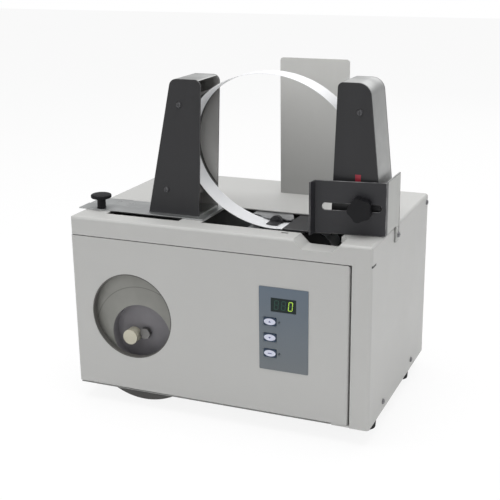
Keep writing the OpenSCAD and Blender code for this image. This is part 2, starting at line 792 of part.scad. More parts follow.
nut_r = 7.5;
module spindle_nut() {
    color([0.8, 0.8, 0.78]) in_case()
        translate([reel_x, hub_floor - 6, reel_z]) rotate([-90, 0, 0]) difference() {
            cylinder(r = nut_r, h = 5.4, $fn = 6);
            translate([0, 0, 2]) cylinder(r = spindle_r, h = 6);
        }
}

// Spring round the spindle that presses the reel's brake washer, drawn as a sleeve
spring_r = 9;
washer_t = 1.5;
module drag_spring() {
    d0 = rear_flange_depth + flange_t + hub_back + skin;
    color([0.65, 0.65, 0.67]) in_case() {
        tube_y(reel_x, d0, reel_z, spring_r + 5, spindle_r, washer_t);
        tube_y(reel_x, d0 + washer_t, reel_z, spring_r, spindle_r, pit_back - 5 - d0 - washer_t);
    }
}

hub_back = 3;
module reel_rear_flange() {
    color([0.55, 0.55, 0.54]) in_case() difference() {
        union() {
            bar_y(reel_x, rear_flange_depth, reel_z, flange_r, flange_t);
            bar_y(reel_x, rear_flange_depth, reel_z, spindle_r + 8, flange_t + hub_back);
        }
        bar_y(reel_x, rear_flange_depth - 1, reel_z, spindle_r + running_fit, flange_t + hub_back + 2);
    }
}

module tape_roll() {
    color([0.90, 0.89, 0.86]) in_case()
        tube_y(reel_x, roll_depth + 0.2, reel_z, roll_r, core_r, tape_w);
}

module reel_front_flange() {
    color([0.60, 0.61, 0.60]) in_case()
        tube_y(reel_x, reel_depth, reel_z, flange_r, hub_r, flange_t);
}

// The hub: a cup that fills the roll's core, with a bored floor
module reel_hub() {
    color([0.33, 0.32, 0.35]) in_case() difference() {
        bar_y(reel_x, roll_depth, reel_z, core_r, rear_flange_depth - roll_depth);
        bar_y(reel_x, roll_depth - 1, reel_z, hub_r, hub_floor - roll_depth + 1);
        bar_y(reel_x, hub_floor + hub_floor_t, reel_z, hub_r, rear_flange_depth);
        bar_y(reel_x, reel_depth, reel_z, spindle_r + running_fit, rear_flange_depth);
        bar_y(lock_x, hub_floor - 1, lock_z, 3 + running_fit, hub_floor_t + 2);
    }
}

module reel_lock_knob() {
    color([0.88, 0.87, 0.76]) in_case() {
        bar_y(lock_x, lock_front, lock_z, lock_knob_r, hub_floor - skin - lock_front);
        bar_y(lock_x, hub_floor - 1, lock_z, 3, hub_floor_t + 3);
        bar_y(lock_x, hub_floor + hub_floor_t + skin, lock_z, 5, 3);
    }
}

// ---------------------------------------------------------------- tape run and feed

// Places of the pins that carry rollers: x, z and the depth of the roller's front
function pin_places() = [
    [left_roller_x, tape_top + tape_t + roller_gap + roller_r, roll_depth],
    [right_roller_x, right_roller_z, wheel_front],
    [pinch_x, feed_z, wheel_front]
];

collar_r = pin_r + 2;
module roller_pins() {
    color([0.7, 0.71, 0.73]) in_case()
        for (p = pin_places()) {
            bar_y(p[0], p[2] - pin_front, p[1], pin_r, pit_back + inner_plate - p[2] + pin_front);
            bar_y(p[0], p[2] - pin_front, p[1], collar_r, pin_front - 1);
            bar_y(p[0], p[2] + wheel_len + 1, p[1], collar_r, pit_back - p[2] - wheel_len - 1);
        }
}

module roller(i, r) {
    p = pin_places()[i];
    tube_y(p[0], p[2], p[1], r, pin_r + running_fit, wheel_len);
}

module left_guide_roller() color([0.85, 0.85, 0.82]) in_case() roller(0, roller_r);
module right_guide_roller() color([0.85, 0.85, 0.82]) in_case() roller(1, roller_r);
module pinch_roller() color([0.75, 0.76, 0.78]) in_case() roller(2, pinch_r);

// An arc of tape with radius r about (x, z), from angle a0 to angle a1; less makes it thinner
module tape_arc(x, z, r, a0, a1, less = 0) {
    t = tape_t - less;
    translate([x, loop_depth + tape_w, z]) rotate([90, 0, 0]) rotate([0, 0, a0])
        rotate_extrude(angle = a1 - a0, $fn = 128)
            translate([r - t / 2, 0]) square([t, tape_w]);
}

// Tape from the roll, under the rollers and round the feed wheel to the table
module tape_run() {
    z0 = tape_top;
    d0 = roll_depth + 0.2;
    off = roller_gap + tape_t / 2;
    lap = 1;
    color([0.93, 0.92, 0.90]) in_case() {
        block([reel_x, d0, z0], [left_roller_x, d0 + tape_w, z0 + tape_t]);
        translate([0, 0, z0]) linear_extrude(tape_t)
            polygon([[left_roller_x - lap, d0], [left_roller_x, d0], [right_roller_x, loop_depth],
                     [right_roller_x, loop_depth + tape_w], [left_roller_x, d0 + tape_w],
                     [left_roller_x - lap, d0 + tape_w]]);
        tape_arc(right_roller_x, right_roller_z, roller_r + off, -90, 0);
        block([rise_x - tape_t / 2, loop_depth, right_roller_z],
              [rise_x + tape_t / 2, loop_depth + tape_w, feed_z]);
        tape_arc(feed_x, feed_z, feed_r + off, 0, 90);
        block([tape_entry_x + 0.5, loop_depth, tape_entry_z - tape_t / 2],
              [feed_x, loop_depth + tape_w, tape_entry_z + tape_t / 2]);
    }
}

// The loop of tape between the towers. The two end arcs are a hair thinner and run a little
// way into the flatter arcs, so that all four are one strip.
arc_less = 0.1;
arc_lap = 1;
module tape_loop() {
    color([0.95, 0.95, 0.94]) in_case() {
        t = -loop_tilt;
        tape_arc(loop_ends[0][0], loop_ends[0][1], loop_end_r, loop_start, t + join_a + arc_lap, arc_less);
        tape_arc(loop_flats[0][0], loop_flats[0][1], loop_flat_r, t + join_a, t + 180 - join_a);
        tape_arc(loop_ends[1][0], loop_ends[1][1], loop_end_r,
                 t + 180 - join_a - arc_lap, t + 180 + join_a + arc_lap, arc_less);
        tape_arc(loop_flats[1][0], loop_flats[1][1], loop_flat_r, t + 180 + join_a, 270 + entry_a);
    }
}

// Rubber-faced wheel on its shaft, which runs through the inner plate to the motor
module feed_wheel() {
    color([0.12, 0.12, 0.12]) in_case() {
        bar_y(feed_x, wheel_front, feed_z, feed_r, wheel_len);
        bar_y(feed_x, wheel_front + wheel_len, feed_z, feed_shaft_r,
              pit_back + inner_plate + 6 - wheel_front - wheel_len);
    }
}

module feed_motor() {
    d0 = pit_back + inner_plate;
    color([0.3, 0.3, 0.32]) in_case() difference() {
        union() {
            translate([feed_x, 0, feed_z]) upright(d0, 6)
                polygon(rounded([[-motor_r, -motor_r, 5], [motor_r, -motor_r, 5],
                                 [motor_r, motor_r, 5], [-motor_r, motor_r, 5]]));
            bar_y(feed_x, d0 + 6, feed_z, motor_r - 1, motor_len);
        }
        bar_y(feed_x, d0 - 1, feed_z, feed_shaft_r + running_fit, 9);
    }
}

// ---------------------------------------------------------------- sealing head

// Two cheeks on the inner plate, with the block that guides the three rams
module head_frame() {
    d0 = loop_depth - 4;
    color([0.5, 0.51, 0.53]) in_case() difference() {
        union() {
            for (x = [head_x0, head_x1])
                block([x, d0, cam_z - 14], [x + cheek_t, pit_back, guide_block_z + guide_block_h]);
            block([head_x0 + cheek_t - eps, d0, guide_block_z],
                  [head_x1 + eps, loop_depth + tape_w + 4, guide_block_z + guide_block_h]);
        }
        for (i = [0:2])
            block([block_x[i] - block_w[i] / 2 - skin, block_d0 - skin, guide_block_z - 1],
                  [block_x[i] + block_w[i] / 2 + skin, block_d0 + tape_w + skin,
                   guide_block_z + guide_block_h + 1]);
        translate([head_x0 - 1, cam_depth, cam_z]) rotate([0, 90, 0])
            cylinder(r = cam_shaft_r + running_fit, h = head_x1 - head_x0 + cheek_t + 2);
    }
}

cam_motor_r = 17;
cam_motor_len = head_x0 - left_roller_x - collar_r - 1;
module cam_motor() {
    color([0.3, 0.3, 0.32]) in_case() difference() {
        translate([head_x0 - cam_motor_len, cam_depth, cam_z]) rotate([0, 90, 0])
            cylinder(r = cam_motor_r, h = cam_motor_len);
        translate([head_x0 - 8, cam_depth, cam_z]) rotate([0, 90, 0])
            cylinder(r = cam_shaft_r + running_fit, h = 9);
    }
}

// One cam: a spiral that rises over a quarter turn and falls back over the rest
module cam_outline() {
    n = 18;
    rise = [for (i = [0:n]) let (a = 90 * i / n) (cam_base + cam_lift * i / n) * [cos(a), sin(a)]];
    fall = [for (i = [1:n - 1]) let (a = 90 + 150 * i / n)
        (cam_base + cam_lift * (1 - i / n)) * [cos(a), sin(a)]];
    rest = [for (i = [0:n - 1]) let (a = 240 + 120 * i / n) cam_base * [cos(a), sin(a)]];
    polygon(concat(rise, fall, rest));
}

// The shaft and its three cams; the spiral starts under the rams
module cam_shaft() {
    color([0.68, 0.69, 0.71]) in_case() translate([0, cam_depth, cam_z]) {
        translate([head_x0 - 7, 0, 0]) rotate([0, 90, 0])
            cylinder(r = cam_shaft_r, h = head_x1 - head_x0 + cheek_t + 7);
        for (x = block_x)
            translate([x - cam_w / 2, 0, 0]) rotate([90, 0, 90]) linear_extrude(cam_w)
                rotate([0, 0, 90]) mirror([0, 1, 0]) cam_outline();
    }
}

// A ram that a cam lifts through the guide block
module ram(i) {
    block([block_x[i] - block_w[i] / 2, block_d0, block_foot],
          [block_x[i] + block_w[i] / 2, block_d0 + tape_w, block_top]);
}

module left_gripper() color([0.6, 0.61, 0.63]) in_case() ram(0);

heater_r = 3;
module seal_press() {
    color([0.72, 0.6, 0.35]) in_case() difference() {
        ram(1);
        bar_y(block_x[1], block_d0 - 1, block_top - 6, heater_r + running_fit, tape_w + 2);
    }
}

module heater_cartridge() {
    color([0.8, 0.8, 0.78]) in_case()
        bar_y(block_x[1], block_d0, block_top - 6, heater_r, tape_w - 1);
}

blade_t = 0.8;
blade_h = 14;
module right_gripper() {
    color([0.6, 0.61, 0.63]) in_case() difference() {
        ram(2);
        block([block_x[2] - block_w[2] / 2 - 1, block_d0 - 1, block_top - blade_h],
              [block_x[2] - block_w[2] / 2 + blade_t, block_d0 + tape_w + 1, block_top + 1]);
    }
}

// The blade has a slanted edge, and stands in a step in the right gripper
module cutter_blade() {
    x0 = block_x[2] - block_w[2] / 2;
    color([0.8, 0.81, 0.83]) in_case()
        translate([x0, 0, 0]) rotate([90, 0, 90]) linear_extrude(blade_t)
            polygon([[block_d0, block_top - blade_h], [block_d0 + tape_w, block_top - blade_h],
                     [block_d0 + tape_w, block_top - 0.2], [block_d0, block_top - 2.5]]);
}

// The dark plate over the feed wheel, carried by a fold on the inner plate
plate_fold = 12;
module table_plate() {
    color([0.2, 0.2, 0.21]) in_case() {
        block([table_x0, table_depth, table_z], [table_x1, pit_back, table_z + table_t]);
        block([table_x0, pit_back - table_t, table_z - plate_fold], [table_x0 + 14, pit_back, table_z + eps]);
    }
}

// The light plate behind the tape that the press foot is fixed to
foot_back = loop_depth + tape_w - 3;
module hold_down_plate() {
    x0 = loop_x - 41;
    x1 = table_x0 - 1.5;
    color([0.72, 0.73, 0.73]) in_case() {
        translate([0, 0, table_z]) linear_extrude(table_t)
            polygon([[x0, foot_back + 8], [x0, pit_back], [x1 - 8, pit_back], [x1, foot_back + 2],
                     [x1 - 3, foot_back], [x0 + 21, foot_back], [x0 + 9, foot_back + 6]]);
        block([x0 + 4, pit_back - table_t, table_z - plate_fold], [x1 - 12, pit_back, table_z + eps]);
    }
}

// Half-round foot with a pad that lies over the tape
press_r = 8;
module press_foot() {
    x = loop_x - 6;
    z = tape_entry_z + tape_t / 2 + 0.3;
    color([0.05, 0.05, 0.05]) in_case() {
        difference() {
            bar_y(x, foot_back - 5, z, press_r, 5);
            block([x - 9, foot_back - 6, z - 9], [x + 9, foot_back + 1, z]);
        }
        block([x - press_r, foot_back - 17, z], [x + press_r - 2, foot_back - 5 + eps, z + 1]);
        bar_y(x + 1.5, foot_back - 6.5, z + 3.6, 1.6, 2);
    }
}

// ---------------------------------------------------------------- towers

// Outline of a tower, made smaller by inset; open extends it past its inner edge
left_top = top_z + left_tower_h;
right_top = top_z + right_tower_h;
function left_outline(inset, open) = rounded([
    [left_inner_x + open, tower_foot + inset, 0],
    [left_inner_x + tower_lean + open, left_top - inset, open > 0 ? 0 : left_corner - 1],
    [left_inner_x + tower_lean - left_top_w + inset, left_top - inset, left_corner - inset],
    [left_inner_x - left_foot_w + inset, tower_foot + inset, 0]], 8);
function right_outline(inset, open) = rounded([
    [right_inner_x - open, top_z + inset, 0],
    [right_inner_x + right_foot_w - inset, top_z + inset, 0],
    [right_inner_x + tower_lean + right_top_w - inset, right_top - inset, right_corner - inset],
    [right_inner_x + tower_lean - open, right_top - inset, open > 0 ? 0 : left_corner - 3]], 8);

// Places of the screws on each tower's plates
left_screws = [[left_inner_x - 22, left_top - 30], [left_inner_x - 42, top_z + 31]];
right_screws = [[right_inner_x + 32, right_top - 32], [right_inner_x + 40, top_z + 9]];

module tower_plates(screws) {
    for (d = [tower_depth, tower_back - tower_plate]) difference() {
        upright(d, tower_plate) children();
        for (p = screws) bar_y(p[0], d - 1, p[1], screw_r, tower_plate + 2);
    }
}

module left_tower_plates()
    color([0.21, 0.21, 0.22]) in_case() tower_plates(left_screws) polygon(left_outline(0, 0));

module right_tower_plates()
    color([0.21, 0.21, 0.22]) in_case() tower_plates(right_screws) polygon(right_outline(0, 0));

// Sheet between the plates: the foot, the outer side and the top, with bosses for the screws
boss_r = 5;
module tower_shell(screws) {
    d0 = tower_depth + tower_plate;
    len = tower_thick - 2 * tower_plate;
    difference() {
        union() {
            upright(d0, len) children();
            for (p = screws) bar_y(p[0], d0, p[1], boss_r, len);
        }
        for (p = screws) bar_y(p[0], d0 - 1, p[1], screw_r, len + 2);
    }
}

module left_tower_shell()
    color([0.70, 0.71, 0.71]) in_case() tower_shell(left_screws) difference() {
        polygon(left_outline(0, 0));
        polygon(left_outline(wrap_t, 5));
    }

module right_tower_shell()
    color([0.70, 0.71, 0.71]) in_case() tower_shell(right_screws) difference() {
        polygon(right_outline(0, 0));
        polygon(right_outline(wrap_t, 5));
    }

// Curved guides inside both towers that keep the tape in its loop
module arc_ring(middle) translate(middle) difference() {
    circle(r = arc_r + guide_t, $fn = 128);
    circle(r = arc_r, $fn = 128);
}

module tape_arc_guides() {
    d0 = tower_depth + tower_plate;
    len = tower_thick - 2 * tower_plate;
    color([0.45, 0.45, 0.44]) in_case() {
        upright(d0, len) intersection() {
            arc_ring(loop_ends[1]);
            polygon(left_outline(wrap_t, 0));
        }
        upright(d0, len) intersection() {
            arc_ring(loop_ends[0]);
            polygon(right_outline(wrap_t, 0));
        }
    }
}

// Screws of the towers, and the two in the stopper's slots
module guide_screws() {
    color([0.75, 0.75, 0.77]) in_case() {
        for (p = concat(left_screws, right_screws), side = [0, 1])
            translate([p[0], side == 0 ? tower_depth : tower_back, p[1]])
                rotate([side == 0 ? 90 : -90, 0, 0]) screw(tower_plate + 6);
        for (s = [-1, 1]) translate([stopper_x + s * stopper_w / 4, stopper_screw_d, top_z + guide_steel])
            screw(guide_steel + sheet + 5);
    }
}

// ---------------------------------------------------------------- guides on the top

// The strip under the left tower slides to set the left stop
module left_slide_strip() {
    color([0.66, 0.67, 0.69]) in_case() difference() {
        block([strip_tip_x, strip_front, top_z], [strip_end_x, strip_back, top_z + strip_t]);
        translate([left_knob_x, left_knob_depth, top_z - 1]) cylinder(r = stud_r, h = 4);
    }
}

// The fixed strip behind it is wider where the tower stands on it
module left_fixed_strip() {
    color([0.64, 0.65, 0.67]) in_case() translate([0, 0, top_z]) linear_extrude(strip_t)
        polygon([[strip_tip_x + 1.5, fixed_front], [strip_end_x, fixed_front], [strip_end_x, tower_back + 1],
                 [fixed_wide_x, tower_back + 1], [fixed_wide_x, fixed_back], [strip_tip_x + 1.5, fixed_back]]);
}

// Mushroom knob with its stud, and the nut under the cover
module left_knob() {
    z = top_z + strip_t;
    stem = 12;
    head = 6;
    nut_h = 5;
    clamp_nut_r = 6;
    color([0.07, 0.08, 0.09]) in_case() translate([left_knob_x, left_knob_depth, 0]) {
        translate([0, 0, z]) cylinder(r1 = 5.6, r2 = 5, h = stem);
        translate([0, 0, z + stem - 1]) rotate_extrude()
            polygon(rounded([[0, 0, 0], [5.5, 0, 0], [left_knob_r, head * 0.3, 1.2],
                             [left_knob_r - 0.8, head * 0.8, 1.2], [4, head + 1, 3], [0, head + 1, 0]]));
        translate([0, 0, top_z - sheet - nut_h - 1])
            cylinder(r = stud_r - running_fit, h = z - top_z + sheet + nut_h + 2);
        translate([0, 0, top_z - sheet - nut_h]) cylinder(r = clamp_nut_r, h = nut_h);
    }
}

function dir2(a) = [cos(a), sin(a)];

// Moves what is drawn from the side guide's corner into the case's frame; -X runs along the plate
module in_guide() translate([side_guide_right, side_guide_depth, 0]) rotate([0, 0, side_guide_yaw]) children();

// Plan of the side guide's front plate with its fold
module side_guide_plan() {
    t = guide_steel;
    fold = side_guide_yaw + side_guide_bend;
    p0 = [side_guide_right, side_guide_depth];
    p1 = p0 - side_guide_w * dir2(side_guide_yaw);
    p2 = p1 - side_guide_fold * dir2(fold);
    p3 = p2 + t * dir2(fold + 90);
    p4 = p1 + t / cos(side_guide_bend / 2) * dir2(side_guide_yaw + side_guide_bend / 2 + 90);
    p5 = p0 + t * dir2(side_guide_yaw + 90);
    polygon(rounded([[p0[0], p0[1], 0], [p1[0], p1[1], 0.8], [p2[0], p2[1], 0],
                     [p3[0], p3[1], 0], [p4[0], p4[1], 2.8], [p5[0], p5[1], 0]], 4));
}

// The side guide: a slotted plate with a fold to the front, and a leg screwed to the case's side
module side_guide() {
    x1 = side_guide_right;
    d0 = side_guide_depth;
    z1 = side_guide_z + side_guide_h;
    mid = (side_slot_s0 + side_slot_s1) / 2;
    run = side_slot_s1 - side_slot_s0 - side_slot_h;
    color([0.24, 0.24, 0.25]) in_case() difference() {
        union() {
            translate([0, 0, side_guide_z]) linear_extrude(side_guide_h) side_guide_plan();
            block([x1 - guide_steel, d0, side_guide_z], [x1, d0 + side_guide_leg, z1]);
            block([x1 - guide_steel, d0 + side_guide_leg - 14, top_z - side_guide_down],
                  [x1, d0 + side_guide_leg, side_guide_z + 1]);
        }
        in_guide() {
            block([-mid - run / 2, -1, side_slot_z - side_slot_h / 2],
                  [-mid + run / 2, guide_steel + 1, side_slot_z + side_slot_h / 2]);
            for (s = [-1, 1]) bar_y(-mid + s * run / 2, -1, side_slot_z, side_slot_h / 2, guide_steel + 2);
        }
        translate([x1 - guide_steel - 1, guide_screw[0], guide_screw[1]]) rotate([0, 90, 0])
            cylinder(r = screw_r, h = guide_steel + 2);
    }
}

// Slider behind the plate: a key in the slot, and the stud for the knob
slider_t = 2;
slot_fit = 0.1;
slider_gap = 0.05;   // gap between the slider and the back of the plate
module side_guide_slider() {
    x = -side_knob_s;
    key = 6;
    color([0.5, 0.5, 0.52]) in_case() in_guide() {
        block([x - slider_half, guide_steel + slider_gap, side_slot_z - slider_half_h],
              [x + slider_half, guide_steel + slider_t, side_slot_z + slider_half_h]);
        block([x - key, 0, side_slot_z - side_slot_h / 2 + slot_fit],
              [x + key, guide_steel + slider_t / 2, side_slot_z + side_slot_h / 2 - slot_fit]);
        bar_y(x, 3 - knob_t, side_slot_z, stud_r, knob_t - 3 + eps);
    }
}

// Lobed knob on the slider's stud
lobes = 5;
knob_t = 14;
lobe_r = 5.5;
module side_guide_knob() {
    color([0.05, 0.05, 0.055]) in_case() in_guide() difference() {
        translate([-side_knob_s, 0, side_slot_z]) upright(-knob_t, knob_t) {
            circle(r = right_knob_r - 2);
            for (i = [0:lobes - 1]) rotate([0, 0, 112 + i * 360 / lobes])
                translate([right_knob_r - lobe_r, 0]) circle(r = lobe_r);
        }
        bar_y(-side_knob_s, 2.5 - knob_t, side_slot_z, stud_r + running_fit, knob_t);
    }
}

// The rear stopper: an upright plate with a slotted foot
module rear_stopper() {
    x0 = stopper_x - stopper_w / 2;
    x1 = stopper_x + stopper_w / 2;
    d0 = stopper_depth;
    t = guide_steel;
    slot_r = screw_r + 0.3;
    color([0.60, 0.61, 0.60]) in_case() difference() {
        union() {
            upright(d0, t) polygon(rounded([[x0, top_z, 0], [x1, top_z, 0],
                [x1, top_z + stopper_h, stopper_corner], [x0, top_z + stopper_h, stopper_corner]]));
            block([x0, d0, top_z], [x1, d0 + stopper_foot, top_z + t]);
        }
        for (s = [-1, 1]) translate([stopper_x + s * stopper_w / 4, 0, 0]) {
            y0 = stopper_screw_d - stopper_in;
            y1 = stopper_screw_d + stopper_out;
            block([-slot_r, y0, top_z - 1], [slot_r, y1, top_z + t + 1]);
            for (y = [y0, y1]) translate([0, y, top_z - 1]) cylinder(r = slot_r, h = t + 2);
        }
    }
}

// ---------------------------------------------------------------- electrics

// Three-pin inlet with its pins in an open recess, and the switch's frame beside it
module power_inlet() {
    back = 20;
    wall = 2;
    flange = 2;
    iw = inlet_w / 2;
    ih = inlet_h / 2;
    sw = switch_w / 2;
    sh = switch_h / 2;
    color([0.05, 0.05, 0.05]) in_case() {
        difference() {
            union() {
                block([inlet_x - iw + 0.2, case_d - back, inlet_z - ih + 0.2],
                      [inlet_x + iw - 0.2, case_d + 1, inlet_z + ih - 0.2]);
                block([inlet_x - iw - 3, case_d, inlet_z - ih - 3],
                      [switch_x + sw + 3, case_d + flange, inlet_z + ih + 3]);
                block([switch_x - sw + 0.2, case_d - back, inlet_z - sh + 0.2],
                      [switch_x + sw - 0.2, case_d + 1, inlet_z + sh - 0.2]);
            }
            block([inlet_x - iw + wall, case_d - back + 3, inlet_z - ih + wall],
                  [inlet_x + iw - wall, case_d + flange + 1, inlet_z + ih - wall]);
            block([switch_x - sw + wall, rocker_d - rocker_r - 1, inlet_z - rocker_r - skin],
                  [switch_x + sw - wall, case_d + flange + 1, inlet_z + rocker_r + skin]);
        }
        for (p = [[-7, -1.5], [0, 2.5], [7, -1.5]])
            block([inlet_x + p[0] - 1, case_d - back + 2, inlet_z + p[1] - 2],
                  [inlet_x + p[0] + 1, case_d - 4, inlet_z + p[1] + 2]);
    }
}

// The rocker lies with its upper end pressed in
rocker_d = case_d + 1;
module rocker_switch() {
    w = switch_w - 4 - 2 * skin;
    far = rocker_r + 1;
    rise = far * tan(rocker_tilt);
    color([0.5, 0.06, 0.05]) in_case() translate([switch_x - w / 2, rocker_d, inlet_z])
        rotate([rocker_tilt, 0, 0]) rotate([90, 0, 90]) linear_extrude(w) intersection() {
            circle(r = rocker_r);
            polygon([[-far, -far], [2 + rise, -far], [2, 0], [2 + rise, far], [-far, far]]);
        }
}

module transformer() {
    x0 = left + 40;
    d0 = pit_back + inner_plate + 35;
    z0 = sheet;
    color([0.35, 0.3, 0.25]) in_case() {
        block([x0, d0, z0], [x0 + 66, d0 + 56, z0 + 4]);
        block([x0 + 6, d0 + 8, z0 + 4], [x0 + 60, d0 + 48, z0 + 54]);
        block([x0 + 14, d0 + 2, z0 + 14], [x0 + 52, d0 + 54, z0 + 44]);
    }
}

outer_cover();
rear_panel();
base_plate();
rubber_feet();
case_screws();
inner_mount_plate();
door();
window_collar();
panel_sheet();
display_module();
up_button();
down_button();
feed_button();
indicator_lamps();
control_board();
hinge_pins();
door_magnet();
reel_spindle();
spindle_nut();
drag_spring();
reel_rear_flange();
tape_roll();
reel_front_flange();
reel_hub();
reel_lock_knob();
left_guide_roller();
right_guide_roller();
roller_pins();
tape_run();
tape_loop();
feed_wheel();
pinch_roller();
feed_motor();
head_frame();
cam_motor();
cam_shaft();
left_gripper();
seal_press();
right_gripper();
heater_cartridge();
cutter_blade();
table_plate();
hold_down_plate();
press_foot();
left_tower_plates();
left_tower_shell();
right_tower_plates();
right_tower_shell();
tape_arc_guides();
guide_screws();
left_slide_strip();
left_fixed_strip();
left_knob();
side_guide();
side_guide_slider();
side_guide_knob();
rear_stopper();
power_inlet();
rocker_switch();
transformer();
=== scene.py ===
"""The looks of a banknote strapping machine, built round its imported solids."""
import math

import bmesh
import bpy
from mathutils import Matrix, Vector


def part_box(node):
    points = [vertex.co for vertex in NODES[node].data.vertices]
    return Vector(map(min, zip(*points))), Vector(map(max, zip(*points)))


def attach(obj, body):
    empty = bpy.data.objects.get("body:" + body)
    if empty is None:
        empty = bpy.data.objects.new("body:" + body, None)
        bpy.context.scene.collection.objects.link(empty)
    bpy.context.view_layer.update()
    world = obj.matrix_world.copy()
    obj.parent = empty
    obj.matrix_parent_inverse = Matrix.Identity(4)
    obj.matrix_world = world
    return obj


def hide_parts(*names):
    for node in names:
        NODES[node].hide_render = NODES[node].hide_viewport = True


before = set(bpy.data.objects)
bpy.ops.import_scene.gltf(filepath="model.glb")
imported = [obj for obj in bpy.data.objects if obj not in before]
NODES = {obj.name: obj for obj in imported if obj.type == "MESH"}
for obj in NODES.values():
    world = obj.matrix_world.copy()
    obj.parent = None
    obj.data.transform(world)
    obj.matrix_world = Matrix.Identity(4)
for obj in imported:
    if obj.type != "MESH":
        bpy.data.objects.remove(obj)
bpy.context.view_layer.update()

# The middle of the case's front lower edge in the frame, in millimetres.
FRONT = Vector((1.75, -130.35, 20.5))


def at(x, depth, z):
    """A point given in millimetres from the case's front lower edge, in metres in the frame."""
    return (FRONT + Vector((x, depth, z))) / 1000


def from_front(point):
    """The reverse of at(): x, depth and height in millimetres of a point in the frame."""
    return point * 1000 - FRONT


def frame_x(x):
    return at(x, 0, 0).x


def frame_y(depth):
    return at(0, depth, 0).y


def frame_z(z):
    return at(0, 0, z).z


def srgb(*c):
    """Linear colour, with alpha, of a colour given in 0 to 255."""
    out = [(v / 255 / 12.92) if v <= 10.3 else ((v / 255 + 0.055) / 1.055) ** 2.4 for v in c]
    return (*out, 1.0)


# ---------------------------------------------------------------- material building

# The places of the colour sockets on a Mix node.
MIX_A, MIX_B, MIX_RESULT = 6, 7, 2
NOISE_ROUGHNESS = 0.55


class Look:
    """A node material with the few steps that the recipes below share."""

    def __init__(self, name, colour, rough=0.5, metal=0.0):
        self.material = bpy.data.materials.new(name)
        self.material.use_nodes = True
        self.tree = self.material.node_tree
        self.tree.nodes.clear()
        self.out = self.node("ShaderNodeOutputMaterial")
        self.shader = self.node("ShaderNodeBsdfPrincipled")
        self.tree.links.new(self.shader.outputs[0], self.out.inputs[0])
        self.set("Base Color", colour)
        self.set("Roughness", rough)
        self.set("Metallic", metal)
        self.coords = self.node("ShaderNodeTexCoord").outputs["Object"]
        self.height = None

    def node(self, kind):
        return self.tree.nodes.new(kind)

    def link(self, a, b):
        self.tree.links.new(a, b)

    def set(self, socket, value):
        self.shader.inputs[socket].default_value = value

    def to(self, socket, output):
        self.link(output, self.shader.inputs[socket])

    def base(self):
        """The output that feeds the base colour so far."""
        return self.shader.inputs["Base Color"].links[0].from_socket

    def noise(self, scale, detail=3.0, stretch=(1, 1, 1)):
        mapping = self.node("ShaderNodeMapping")
        mapping.inputs["Scale"].default_value = stretch
        self.link(self.coords, mapping.inputs["Vector"])
        n = self.node("ShaderNodeTexNoise")
        n.inputs["Scale"].default_value = scale
        n.inputs["Detail"].default_value = detail
        n.inputs["Roughness"].default_value = NOISE_ROUGHNESS
        self.link(mapping.outputs[0], n.inputs["Vector"])
        return n.outputs[0]

    def cells(self, scale, feature="F1"):
        n = self.node("ShaderNodeTexVoronoi")
        n.feature = feature
        n.inputs["Scale"].default_value = scale
        self.link(self.coords, n.inputs["Vector"])
        return n.outputs["Distance"]

    def part(self, axis):
        """One coordinate of the shaded point, in metres in the frame."""
        s = self.node("ShaderNodeSeparateXYZ")
        self.link(self.coords, s.inputs[0])
        return s.outputs["XYZ".index(axis)]

    def fit(self, value, a, b, lo=0.0, hi=1.0):
        """Maps value from a..b to lo..hi, clamped."""
        m = self.node("ShaderNodeMapRange")
        m.inputs["From Min"].default_value = a
        m.inputs["From Max"].default_value = b
        m.inputs["To Min"].default_value = lo
        m.inputs["To Max"].default_value = hi
        self.link(value, m.inputs["Value"])
        return m.outputs[0]

    def math(self, kind, a, b=0.0):
        m = self.node("ShaderNodeMath")
        m.operation = kind
        for i, v in enumerate((a, b)):
            if isinstance(v, (int, float)):
                m.inputs[i].default_value = v
            else:
                self.link(v, m.inputs[i])
        return m.outputs[0]

    def between(self, axis, lo, hi):
        """1 where a coordinate lies between two values, and 0 elsewhere."""
        return self.math("MULTIPLY", self.math("GREATER_THAN", self.part(axis), lo),
                         self.math("LESS_THAN", self.part(axis), hi))

    def mix(self, factor, a, b):
        """Goes from colour a to colour b; each is a plain colour or an output."""
        m = self.node("ShaderNodeMix")
        m.data_type = "RGBA"
        for i, v in ((MIX_A, a), (MIX_B, b)):
            if isinstance(v, tuple):
                m.inputs[i].default_value = v
            else:
                self.link(v, m.inputs[i])
        self.link(factor, m.inputs[0])
        return m.outputs[MIX_RESULT]

    def bump(self, height, strength, distance):
        """Adds a bump on top of the bumps so far."""
        b = self.node("ShaderNodeBump")
        b.inputs["Strength"].default_value = strength
        b.inputs["Distance"].default_value = distance
        self.link(height, b.inputs["Height"])
        if self.height is not None:
            self.link(self.height, b.inputs["Normal"])
        self.height = b.outputs[0]
        self.to("Normal", self.height)


def tint(colour, k):
    """A colour made lighter or darker by the factor k."""
    return (min(colour[0] * k, 1), min(colour[1] * k, 1), min(colour[2] * k, 1), 1.0)


def powder_coat(name, colour, grain=1.0, rough=0.46):
    """Fine-textured powder coat: orange peel, a little colour drift and small dark specks."""
    k = Look(name, colour, rough)
    drift = k.mix(k.fit(k.noise(3.5, 2), 0.3, 0.7), tint(colour, 0.985), tint(colour, 1.012))
    speck = k.mix(k.fit(k.cells(2600), 0.0, 0.5, 0.0, 0.06), drift, tint(colour, 0.75))
    k.to("Base Color", speck)
    k.to("Roughness", k.fit(k.noise(24, 3), 0.3, 0.7, rough - 0.02, rough + 0.04))
    k.bump(k.noise(900, 3), 0.14 * grain, 0.00012)
    k.bump(k.noise(2400, 2), 0.08 * grain, 0.0001)
    return k


# Height over which the painted reflection on a dark sheet's lowest part fades out, in metres.
REFLECTION_FADE = 0.018


